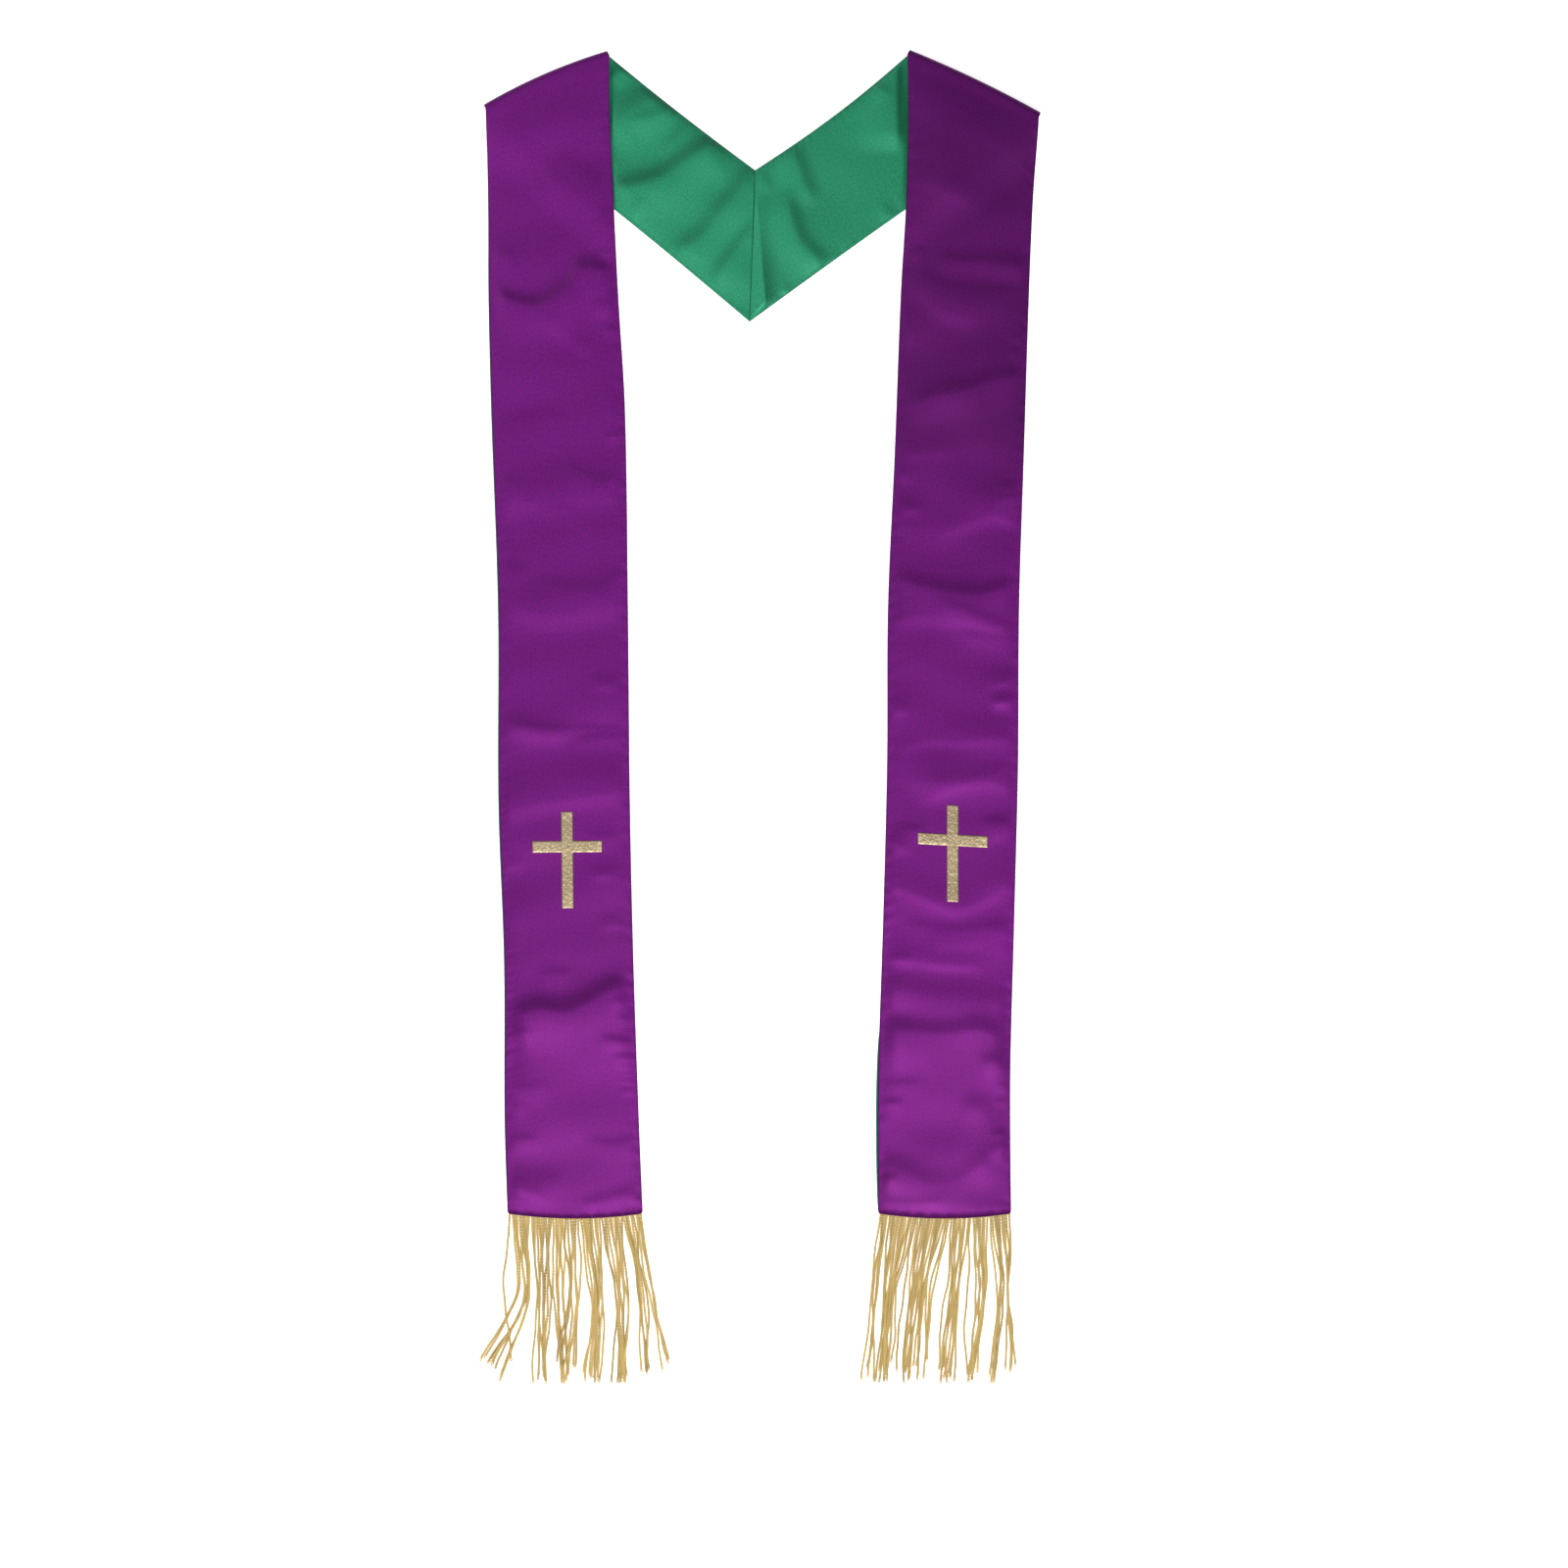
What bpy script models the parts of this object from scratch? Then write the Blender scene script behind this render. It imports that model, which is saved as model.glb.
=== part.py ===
"""A reversible clerical stole laid out flat on a surface, one object for each piece that is cut.

Frame: +X to the right of the laid-out stole, +Y towards its neck, +Z up out of the surface.
The origin is under the middle of the whole outline. Sizes below are in millimetres.

The stole is two long strips of satin, a left and a right one, joined by a mitred seam at the
centre back. Each strip has a purple and a green ply. The neck lies green side up. At each
shoulder the strip is folded over itself, so the fronts lie purple side up on the neck.
"""

import math
from collections import namedtuple

import bmesh
import bpy
from mathutils import Vector
from mathutils.bvhtree import BVHTree

MM = 0.001

# Cloth
PLY = 1.0                  # thickness of the wall that stands for one ply of satin
PARTED = 0.3               # gap between neighbouring pieces
STACK = 2.0 * PLY + PARTED  # both plies, one on the other
COLUMNS = (0.0, 0.08, 0.25, 0.42, 0.58, 0.75, 0.92, 1.0)  # share of the width, from the outer edge

# Shoulder fold, a round turn of both plies about one axis
TURN_RADIUS = 4.8          # from the axis to the outer face of the turn
TURN_STEPS = 8
ABOVE_NECK = 2.7           # underside of a front where it lies on the neck
EDGE_LEDGE = 4.0           # how far past the neck's edge a front stays that high
EDGE_SETTLE = 35.0         # and over what further distance it comes down to the surface

# Fronts
ROW_PITCH = 14.5
PLAIN_ROWS = 4             # the green ply needs only every fourth row where it lies flat
HEM_Y = -426.5
HEM_BOW = 4.0              # how far the middle of the hem lies below its corners
HEM_BOW_REACH = 60.0
HEM_RAISE = 1.1            # room that the fringe heading takes between the plies
HEM_RAISE_REACH = 26.0
SLANT_REACH = 380.0        # the rows turn from the shoulder's slant to level over this length
FRONT_LOFT = 1.8           # air between the plies at the middle of a front
LOFT_START = 45.0          # the loft grows over this length from the shoulder and from the hem

# Neck
SEAM_INNER = (-4.2, 470.8)  # the centre-back seam, at the neck hole
SEAM_OUTER = (-8.9, 340.6)  # and at the point of the mitre
NECK_ROWS = 20
NECK_CROWDING = 1.5        # rows lie closer together towards the seam
NECK_LOFT = 2.6
NECK_LOFT_START = 30.0     # the loft grows over this length from beside the front
SEAM_DIP = 0.5             # share of the loft that is left at the seam
SEAM_DIP_REACH = 18.0
SEAM_HALF_GAP = 0.16       # the seam leans a little, so this leaves 0.3 mm square to it
PLEAT_HEIGHT = 4.5         # small tuck in the green ply, right of the seam
PLEAT_WIDTH = 15.8         # from the seam to the tuck's crest, at the point of the mitre
PLEAT_FALL = 20.0
PLEAT_TOP_Y = 440.0        # where the tuck runs out

# Fringe
HEADING_DEPTH = 4.0
HEADING_THICK = 0.8
HEADING_PROUD = 0.4        # how far the heading shows below the hem
HEADING_MARGIN = 1.0
STRAND_WIDTH = 1.3
STRAND_THICK = 1.1
STRAND_CLEAR = 0.3         # above the surface, and between strands that lie on each other
WAIST_Y = -499.5           # where the strands of a lock are gathered
STRAND_STATIONS = (0.1, 0.38, 0.68, 1.0)  # share of a strand's length at each of its sections
STRAND_UNEVEN = 4.0        # how far the ends of neighbouring strands differ
STRAND_WAVE = 2.4          # angle in radians from one strand's end to the next in that wave
ROUTE_STEP = 0.02          # share of a strand's length over which its direction is read

# Crosses of foil
CROSS_HEIGHT = 83.0
CROSS_SPAN = 60.0
CROSS_BAR = 10.0
CROSS_ARM_DROP = 30.0      # from the top down to the middle of the arms
CROSS_THICK = 0.4
CROSS_CELL = 6.5           # longest side of a face, so that the cross follows the cloth
WELL_ABOVE = 100.0         # the cloth's height is read from here down

SHARP_ANGLE = math.radians(40.0)  # faces that meet at more than this keep a crisp edge

EdgeRow = namedtuple("EdgeRow", "y outer_x inner_x")
Crease = namedtuple("Crease", "x0 y0 x1 y1 bend height half_width")
Lock = namedtuple("Lock", "strands waist_0 waist_1 tip_0 tip_1 tip_y_0 tip_y_1 on_top")
Cross = namedtuple("Cross", "middle_x top_y lean arm_tilt")
Show = namedtuple("Show", "column y_0 y_1 width")
Side = namedtuple(
    "Side",
    "name outward turn_outer turn_inner turn_bow settle_outer settle_inner "
    "neck_upper_waist neck_lower_waist edges front_creases neck_creases locks cross green_shows",
)
Ply = namedtuple("Ply", "name show inner lifted_neck lifted_front")

# A ply's faces by their height in the neck, where the purple ply lies under the green one
PURPLE = Ply("purple", show=0.0, inner=PLY, lifted_neck=False, lifted_front=True)
GREEN = Ply("green", show=STACK, inner=PLY + PARTED, lifted_neck=True, lifted_front=False)

LEFT = Side(
    name="left",
    outward=-1,
    turn_outer=(-237.3, 526.5),
    turn_inner=(-131.1, 572.8),
    turn_bow=3.5,
    settle_outer=70.0,
    settle_inner=95.0,
    neck_upper_waist=1.2,
    neck_lower_waist=2.5,
    edges=[
        EdgeRow(569.0, -237.0, -129.2),
        EdgeRow(522.0, -235.4, -129.0),
        EdgeRow(433.7, -233.5, -125.2),
        EdgeRow(362.9, -233.1, -121.8),
        EdgeRow(263.4, -230.6, -115.9),
        EdgeRow(94.8, -224.7, -113.4),
        EdgeRow(-73.8, -224.3, -111.7),
        EdgeRow(-208.6, -219.6, -108.7),
        EdgeRow(-343.5, -219.3, -104.1),
        EdgeRow(HEM_Y, -217.1, -100.7),
    ],
    front_creases=[
        Crease(-229.0, 363.0, -125.0, 388.0, -6.0, -1.7, 9.0),
        Crease(-229.0, 382.0, -125.0, 407.0, -4.0, 0.9, 12.0),
        Crease(-222.0, 180.0, -120.0, 190.0, 0.0, 0.9, 15.0),
        Crease(-220.0, 93.0, -119.0, 89.0, -6.0, 1.2, 15.0),
        Crease(-222.0, 0.0, -117.0, -8.0, 0.0, -1.2, 9.0),
        Crease(-217.0, -20.0, -116.0, -31.0, 0.0, 1.3, 12.0),
        Crease(-219.0, -228.0, -124.0, -216.0, 0.0, 0.8, 10.0),
        Crease(-214.0, -250.0, -112.0, -229.0, -2.0, -2.1, 9.0),
        Crease(-214.0, -272.0, -108.0, -254.0, 0.0, 1.1, 12.0),
    ],
    neck_creases=[
        Crease(-40.0, 498.0, -122.0, 455.0, 4.0, -2.1, 10.0),
        Crease(-11.0, 472.0, -52.0, 413.0, -4.0, -1.7, 9.0),
        Crease(-12.0, 423.0, -41.0, 376.0, 0.0, -0.9, 7.0),
        Crease(-86.0, 543.0, -122.0, 512.0, 0.0, -1.0, 10.0),
    ],
    locks=[
        Lock(1, -217.9, -217.9, -213.7, -213.7, -562.0, -562.0, True),
        Lock(7, -208.6, -197.7, -241.5, -221.3, -550.0, -568.0, False),
        Lock(8, -193.5, -180.8, -191.8, -183.0, -567.0, -571.0, False),
        Lock(4, -176.6, -167.3, -173.2, -164.8, -573.0, -573.0, False),
        Lock(5, -164.8, -154.7, -175.8, -156.4, -558.0, -562.0, True),
        Lock(8, -145.4, -133.6, -152.2, -136.1, -568.0, -573.0, False),
        Lock(8, -126.9, -113.4, -126.0, -114.2, -573.0, -568.0, False),
        Lock(4, -105.0, -97.4, -102.4, -94.0, -567.0, -562.0, False),
        Lock(3, -95.7, -90.6, -83.9, -74.6, -566.0, -554.0, False),
    ],
    cross=Cross(middle_x=-165.6, top_y=-80.8, lean=0.5, arm_tilt=0.5),
    green_shows=[Show(column=0, y_0=480.0, y_1=-420.0, width=0.8)],
)

RIGHT = Side(
    name="right",
    outward=1,
    turn_outer=(241.5, 519.7),
    turn_inner=(128.6, 573.7),
    turn_bow=2.0,
    settle_outer=70.0,
    settle_inner=170.0,
    neck_upper_waist=3.5,
    neck_lower_waist=1.7,
    edges=[
        EdgeRow(570.0, 241.0, 126.5),
        EdgeRow(515.4, 239.4, 127.3),
        EdgeRow(443.8, 234.8, 125.6),
        EdgeRow(362.9, 231.4, 121.0),
        EdgeRow(229.7, 227.2, 115.9),
        EdgeRow(94.8, 223.0, 110.0),
        EdgeRow(-40.0, 222.1, 109.2),
        EdgeRow(-174.9, 218.8, 105.8),
        EdgeRow(-309.8, 215.4, 101.6),
        EdgeRow(HEM_Y, 216.0, 101.6),
    ],
    front_creases=[
        Crease(141.0, 376.0, 230.0, 370.0, 0.0, -1.4, 9.0),
        Crease(130.0, 275.0, 228.0, 298.0, 3.0, -2.0, 9.0),
        Crease(141.0, 256.0, 212.0, 270.0, 3.0, 1.1, 12.0),
        Crease(117.0, 123.0, 219.0, 116.0, -6.0, -1.8, 9.0),
        Crease(114.0, 84.0, 219.0, 78.0, 8.0, 1.5, 13.0),
        Crease(122.0, -28.0, 216.0, -20.0, 0.0, 1.0, 13.0),
        Crease(132.0, -52.0, 211.0, -42.0, -4.0, -1.1, 9.0),
        Crease(109.0, -146.0, 220.0, -144.0, -22.0, 1.2, 11.0),
        Crease(111.0, -228.0, 215.0, -238.0, 0.0, -1.5, 10.0),
        Crease(110.0, -262.0, 210.0, -273.0, 2.0, -1.8, 9.0),
        Crease(193.0, -294.0, 212.0, -294.0, 0.0, -1.3, 8.0),
        Crease(103.0, -374.0, 201.0, -371.0, -20.0, -1.1, 9.0),
    ],
    neck_creases=[
        Crease(31.0, 490.0, 47.0, 449.0, 2.0, -1.4, 10.0),
        Crease(27.0, 441.0, 59.0, 392.0, -5.0, -1.6, 10.0),
    ],
    locks=[
        Lock(4, 95.7, 101.6, 88.9, 96.5, -566.0, -570.0, False),
        Lock(4, 105.8, 110.9, 100.7, 105.0, -572.0, -572.0, False),
        Lock(5, 111.7, 118.4, 106.6, 112.5, -568.0, -562.0, False),
        Lock(1, 121.0, 121.0, 118.4, 118.4, -564.0, -564.0, False),
        Lock(6, 126.9, 135.3, 122.7, 129.4, -570.0, -566.0, False),
        Lock(5, 137.0, 143.7, 131.9, 137.8, -564.0, -568.0, False),
        Lock(2, 147.1, 149.8, 141.2, 143.9, -561.0, -561.0, False),
        Lock(7, 159.7, 171.5, 153.0, 167.3, -570.0, -573.0, False),
        Lock(1, 177.4, 177.4, 175.8, 175.8, -566.0, -566.0, False),
        Lock(6, 185.0, 194.3, 178.3, 185.0, -572.0, -568.0, False),
        Lock(4, 204.4, 211.2, 194.3, 204.4, -570.0, -566.0, False),
        Lock(3, 212.0, 215.4, 212.0, 219.6, -566.0, -562.0, False),
    ],
    cross=Cross(middle_x=165.6, top_y=-75.2, lean=0.0, arm_tilt=-3.0),
    green_shows=[Show(column=len(COLUMNS) - 1, y_0=-270.0, y_1=-424.0, width=2.5)],
)

SIDES = (LEFT, RIGHT)

# Finish of each piece: colour in sRGB out of 255, roughness, metallic
Finish = namedtuple("Finish", "colour roughness metallic")
FINISHES = {
    "purple": Finish((112, 30, 125), 0.42, 0.0),
    "green": Finish((50, 150, 115), 0.42, 0.0),
    "fringe": Finish((220, 185, 100), 0.6, 0.0),
    "cross": Finish((190, 165, 115), 0.35, 0.9),
}


def rise(value):
    """Smooth step from 0 to 1 as the value goes from 0 to 1."""
    value = min(max(value, 0.0), 1.0)
    return value * value * (3.0 - 2.0 * value)


def hump(share):
    """Arch that is 0 at both ends of a share from 0 to 1, and 1 in the middle."""
    return 4.0 * share * (1.0 - share)


def smooth_value(places, values, place):
    """Value at a place on the smooth curve through the values, whose places rise or fall."""
    if places[0] > places[-1]:
        places = places[::-1]
        values = values[::-1]
    place = min(max(place, places[0]), places[-1])
    last = len(places) - 1
    span = 0
    while span < last - 1 and places[span + 1] < place:
        span += 1

    def slope(index):
        before = max(index - 1, 0)
        after = min(index + 1, last)
        return (values[after] - values[before]) / (places[after] - places[before])

    width = places[span + 1] - places[span]
    share = (place - places[span]) / width
    square = share * share
    cube = square * share
    return (
        (2.0 * cube - 3.0 * square + 1.0) * values[span]
        + (cube - 2.0 * square + share) * width * slope(span)
        + (3.0 * square - 2.0 * cube) * values[span + 1]
        + (cube - square) * width * slope(span + 1)
    )


def turn_out(side):
    """Direction in which the shoulder fold faces, square to its line."""
    along = Vector(side.turn_inner) - Vector(side.turn_outer)
    square = Vector((-along.y, along.x)).normalized()
    return square if square.y > 0.0 else -square


def turn_axis(side, share):
    """Point on the axis of the shoulder fold, at a share of the width."""
    out = turn_out(side)
    line = Vector(side.turn_outer).lerp(Vector(side.turn_inner), share)
    return line + out * (side.turn_bow * hump(share) - TURN_RADIUS)


def past_line(point, start, end):
    """Distance of a point below the straight line from start to end."""
    along = (end - start).normalized()
    across = Vector((-along.y, along.x))
    if across.y > 0.0:
        across = -across
    return (point - start).dot(across)


def front_base(side, point, share):
    """Height of a front's underside: up on the neck and the fold, then down on the surface."""
    axis_outer = turn_axis(side, 0.0)
    off_neck = past_line(point, axis_outer, Vector(SEAM_OUTER)) - EDGE_LEDGE
    from_turn = past_line(point, axis_outer, turn_axis(side, 1.0))
    settle = side.settle_outer + (side.settle_inner - side.settle_outer) * share * share
    turn_top = 2.0 * TURN_RADIUS - STACK
    on_neck = ABOVE_NECK * (1.0 - rise(off_neck / EDGE_SETTLE))
    on_turn = (turn_top - ABOVE_NECK) * (1.0 - rise(from_turn / settle))
    return on_neck + on_turn


def crease_height(creases, point):
    """Sum of the soft troughs and ridges at a point."""
    total = 0.0
    for crease in creases:
        start = Vector((crease.x0, crease.y0))
        along = Vector((crease.x1, crease.y1)) - start
        offset = point - start
        share = offset.dot(along) / along.length_squared
        inside = min(max(share, 0.0), 1.0)
        across = along.x * offset.y - along.y * offset.x
        across = across / along.length * math.copysign(1.0, along.x)
        sideways = across - crease.bend * hump(inside)
        beyond = (share - inside) * along.length
        distance = math.hypot(sideways, beyond) / crease.half_width
        total += crease.height * math.exp(-distance * distance)
    return total


def loft(share):
    """Pillow shape across a strip: nothing at its sewn edges, nearly level between them."""
    return 1.0 - (2.0 * share - 1.0) ** 4


def front_lift(side, point, share, from_turn, from_hem):
    """How far the purple ply of a front stands off the green one under it."""
    body = FRONT_LOFT + crease_height(side.front_creases, point)
    body *= rise(from_turn / LOFT_START) * rise(from_hem / LOFT_START)
    hem = HEM_RAISE * (1.0 - rise((from_hem - HEM_RAISE_REACH) / HEM_RAISE_REACH))
    return max(body, 0.0) * loft(share) + hem


def pleat_height(point):
    """Tuck in the green ply beside the seam, which opens towards the point of the mitre."""
    run = (PLEAT_TOP_Y - point.y) / (PLEAT_TOP_Y - SEAM_OUTER[1])
    if run <= 0.0:
        return 0.0
    run = min(run, 1.0)
    down = (SEAM_INNER[1] - point.y) / (SEAM_INNER[1] - SEAM_OUTER[1])
    seam_x = SEAM_INNER[0] + (SEAM_OUTER[0] - SEAM_INNER[0]) * down
    from_seam = max(point.x - seam_x, 0.0)
    crest = PLEAT_WIDTH * run
    if from_seam < crest:
        return PLEAT_HEIGHT * run * from_seam / crest
    return PLEAT_HEIGHT * run * (1.0 - rise((from_seam - crest) / PLEAT_FALL))


def neck_lift(side, point, share, seam_distance):
    """How far the green ply of the neck stands off the purple one, none under a front."""
    ys = [row.y for row in side.edges]
    front_edge = smooth_value(ys, [row.inner_x for row in side.edges], point.y)
    beside = rise((front_edge - point.x) * side.outward / NECK_LOFT_START)
    dip = SEAM_DIP + (1.0 - SEAM_DIP) * rise(seam_distance / SEAM_DIP_REACH)
    body = (NECK_LOFT * dip + crease_height(side.neck_creases, point)) * loft(share)
    pleat = pleat_height(point) if side.outward > 0 else 0.0
    return (max(body, 0.0) + pleat) * beside


def front_plan(side):
    """Rows of plan points of a front from shoulder to hem, with their distances from both."""
    ys = [row.y for row in side.edges]
    outer_xs = [row.outer_x for row in side.edges]
    inner_xs = [row.inner_x for row in side.edges]
    top_outer = turn_axis(side, 0.0).y
    slant = turn_axis(side, 1.0).y - top_outer
    length = top_outer - HEM_Y
    rows = []
    count = round(length / ROW_PITCH)
    for number in range(count + 1):
        run = length * number / count
        outer_y = top_outer - run
        inner_y = outer_y + slant * (1.0 - rise(run / SLANT_REACH))
        outer = Vector((smooth_value(ys, outer_xs, outer_y), outer_y))
        inner = Vector((smooth_value(ys, inner_xs, inner_y), inner_y))
        if number == 0:
            outer = turn_axis(side, 0.0)
            inner = turn_axis(side, 1.0)
        bow_top = side.turn_bow * (1.0 - rise(run / SLANT_REACH))
        bow_hem = HEM_BOW * rise(1.0 - (length - run) / HEM_BOW_REACH)
        bow = turn_out(side) * bow_top - Vector((0.0, bow_hem))
        points = [outer.lerp(inner, share) + bow * hump(share) for share in COLUMNS]
        rows.append((points, run, length - run))
    return rows


def neck_plan(side):
    """Rows of plan points of a half neck, from the centre-back seam to the shoulder."""
    clear = Vector((side.outward * SEAM_HALF_GAP, 0.0))
    seam_outer = Vector(SEAM_OUTER) + clear
    seam_inner = Vector(SEAM_INNER) + clear
    rows = []
    for number in range(NECK_ROWS + 1):
        out = (number / NECK_ROWS) ** NECK_CROWDING
        lower = seam_outer.lerp(turn_axis(side, 0.0), out)
        upper = seam_inner.lerp(turn_axis(side, 1.0), out)
        across = (upper - lower).normalized()
        lower += across * side.neck_lower_waist * hump(out)
        upper -= across * side.neck_upper_waist * hump(out)
        bow = turn_out(side) * side.turn_bow * out * out
        points = [lower.lerp(upper, share) + bow * hump(share) for share in COLUMNS]
        rows.append((points, out * (seam_outer - turn_axis(side, 0.0)).length))
    return rows


def green_edge_shift(side, column, y):
    """How far the green ply shows past the purple one at a long edge."""
    shift = 0.0
    for show in side.green_shows:
        if column == show.column:
            share = (y - show.y_0) / (show.y_1 - show.y_0)
            if 0.0 < share < 1.0:
                shift += show.width * math.sqrt(hump(share))
    direction = side.outward if column == 0 else -side.outward
    return shift * direction


def front_row_points(side, ply, points, from_turn, from_hem):
    """Show and inner points of one row of a front."""
    row = []
    for column, (share, point) in enumerate(zip(COLUMNS, points)):
        base = front_base(side, point, share)
        if ply.lifted_front:
            base += front_lift(side, point, share, from_turn, from_hem)
        x = point.x
        if ply is GREEN:
            x += green_edge_shift(side, column, point.y)
        show = Vector((x, point.y, base + STACK - ply.show))
        inner = Vector((x, point.y, base + STACK - ply.inner))
        row.append((show, inner))
    return row


def turn_row_points(side, ply, angle):
    """Show and inner points of one row round the shoulder fold."""
    out = turn_out(side)
    row = []
    for share in COLUMNS:
        axis = turn_axis(side, share)
        pair = []
        for face in (ply.show, ply.inner):
            radius = TURN_RADIUS - face
            place = axis + out * radius * math.cos(angle)
            pair.append(Vector((place.x, place.y, TURN_RADIUS + radius * math.sin(angle))))
        row.append(tuple(pair))
    return row


def neck_row_points(side, ply, points, seam_distance):
    """Show and inner points of one row of a half neck."""
    row = []
    for share, point in zip(COLUMNS, points):
        lift = neck_lift(side, point, share, seam_distance) if ply.lifted_neck else 0.0
        show = Vector((point.x, point.y, ply.show + lift))
        inner = Vector((point.x, point.y, ply.inner + lift))
        row.append((show, inner))
    return row


def ply_rows(side, ply):
    """All rows of a ply, from the seam over the shoulder to the hem."""
    rows = []
    for points, seam_distance in neck_plan(side):
        rows.append(neck_row_points(side, ply, points, seam_distance))
    for step in range(1, TURN_STEPS):
        angle = math.pi * (step / TURN_STEPS - 0.5)
        rows.append(turn_row_points(side, ply, angle))
    plan = front_plan(side)
    was_raised = True
    for number, (points, from_turn, from_hem) in enumerate(plan):
        last = number == len(plan) - 1
        if ply.lifted_front or was_raised or last or number % PLAIN_ROWS == 0:
            rows.append(front_row_points(side, ply, points, from_turn, from_hem))
        was_raised = any(front_base(side, p, s) > 0.0 for s, p in zip(COLUMNS, points))
    return rows


def wall(rows):
    """Closed wall through rows of pairs of points, one of each pair on either face."""
    bm = bmesh.new()
    show = [[bm.verts.new(pair[0] * MM) for pair in row] for row in rows]
    inner = [[bm.verts.new(pair[1] * MM) for pair in row] for row in rows]
    last_row = len(rows) - 1
    last_column = len(rows[0]) - 1
    for r in range(last_row):
        for c in range(last_column):
            for face in (show, inner):
                bm.faces.new((face[r][c], face[r][c + 1], face[r + 1][c + 1], face[r + 1][c]))
    border = [(0, c) for c in range(last_column)]
    border += [(r, last_column) for r in range(last_row)]
    border += [(last_row, c) for c in range(last_column, 0, -1)]
    border += [(r, 0) for r in range(last_row, 0, -1)]
    for (r0, c0), (r1, c1) in zip(border, border[1:] + border[:1]):
        bm.faces.new((show[r0][c0], show[r1][c1], inner[r1][c1], inner[r0][c0]))
    return bm


def strand_route(root, waist, tip, run):
    """Plan point of a strand at a share of its length."""
    waist_run = (root.y - WAIST_Y) / (root.y - tip.y)
    x = smooth_value([0.0, waist_run, 1.0], [root.x, waist, tip.x], run)
    return Vector((x, root.y + (tip.y - root.y) * run))


def lock_strands(side):
    """Waist, tip and level of every strand, in order from the outer corner of the left hem."""
    strands = []
    for lock in side.locks:
        for number in range(lock.strands):
            share = (number + 0.5) / lock.strands
            waist = lock.waist_0 + (lock.waist_1 - lock.waist_0) * share
            tip_x = lock.tip_0 + (lock.tip_1 - lock.tip_0) * share
            tip_y = lock.tip_y_0 + (lock.tip_y_1 - lock.tip_y_0) * share
            tip_y += STRAND_UNEVEN * rise(0.5 + 0.5 * math.sin(STRAND_WAVE * len(strands)))
            level = number % 2 + (2 if lock.on_top else 0)
            strands.append((waist, Vector((tip_x, tip_y)), level))
    return strands


def hem_point(side, share):
    """Point on the hem line, at a share from its left corner."""
    hem = side.edges[-1]
    left = min(hem.outer_x, hem.inner_x) + HEADING_MARGIN
    right = max(hem.outer_x, hem.inner_x) - HEADING_MARGIN
    return Vector((left + (right - left) * share, HEM_Y - HEM_BOW * hump(share)))


def strand_sections(root, waist, tip, level):
    """Four corners of each section of a strand below its root."""
    sections = []
    height = STRAND_CLEAR + STRAND_THICK / 2.0 + level * (STRAND_THICK + STRAND_CLEAR)
    for run in STRAND_STATIONS:
        middle = strand_route(root, waist, tip, run)
        ahead = strand_route(root, waist, tip, min(run + ROUTE_STEP, 1.0))
        behind = strand_route(root, waist, tip, run - ROUTE_STEP)
        along = (ahead - behind).normalized()
        beside = Vector((-along.y, along.x, 0.0)) * STRAND_WIDTH / 2.0
        centre = Vector((middle.x, middle.y, height))
        over = Vector((0.0, 0.0, STRAND_THICK / 2.0))
        sections.append(
            [centre - beside - over, centre + beside - over,
             centre + beside + over, centre - beside + over]
        )
    return sections


def fringe(side):
    """Fringe of one hem: strands whose roots are fused into a narrow heading strip."""
    bm = bmesh.new()
    low = PLY + PARTED
    high = low + HEADING_THICK
    strands = lock_strands(side)
    front_low = []
    front_high = []
    for number, (waist, tip, level) in enumerate(strands):
        middle = hem_point(side, (number + 0.5) / len(strands))
        root = Vector((middle.x, middle.y - HEADING_PROUD))
        corners = []
        for sign, z in ((-1, low), (1, low), (1, high), (-1, high)):
            place = Vector((root.x + sign * STRAND_WIDTH / 2.0, root.y, z))
            corners.append(bm.verts.new(place * MM))
        front_low += corners[:2]
        front_high += [corners[3], corners[2]]
        previous = corners
        for section in strand_sections(root, waist, tip, level):
            ring = [bm.verts.new(place * MM) for place in section]
            for k in range(4):
                after = (k + 1) % 4
                bm.faces.new((previous[k], previous[after], ring[after], ring[k]))
            previous = ring
        bm.faces.new(previous)
    back_y = HEM_Y + HEADING_DEPTH
    ends = [hem_point(side, 0.0).x, hem_point(side, 1.0).x]
    front_y = HEM_Y - HEADING_PROUD
    strip_low = [bm.verts.new(Vector((ends[0], front_y, low)) * MM)] + front_low
    strip_low.append(bm.verts.new(Vector((ends[1], front_y, low)) * MM))
    strip_high = [bm.verts.new(Vector((ends[0], front_y, high)) * MM)] + front_high
    strip_high.append(bm.verts.new(Vector((ends[1], front_y, high)) * MM))
    back_low = [bm.verts.new(Vector((x, back_y, low)) * MM) for x in reversed(ends)]
    back_high = [bm.verts.new(Vector((x, back_y, high)) * MM) for x in reversed(ends)]
    bm.faces.new(strip_low + back_low)
    bm.faces.new(strip_high + back_high)
    bm.faces.new((back_low[0], back_low[1], back_high[1], back_high[0]))
    bm.faces.new((strip_low[0], strip_high[0], back_high[1], back_low[1]))
    bm.faces.new((strip_low[-1], back_low[0], back_high[0], strip_high[-1]))
    for k in range(0, len(strip_low), 2):
        bm.faces.new((strip_low[k], strip_low[k + 1], strip_high[k + 1], strip_high[k]))
    return bm


def stations(edges):
    """Places from the first edge to the last one, with every gap cut in cells of one size."""
    places = []
    for start, end in zip(edges, edges[1:]):
        cells = math.ceil(abs(end - start) / CROSS_CELL)
        places += [start + (end - start) * k / cells for k in range(cells)]
    return places + [edges[-1]]


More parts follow.
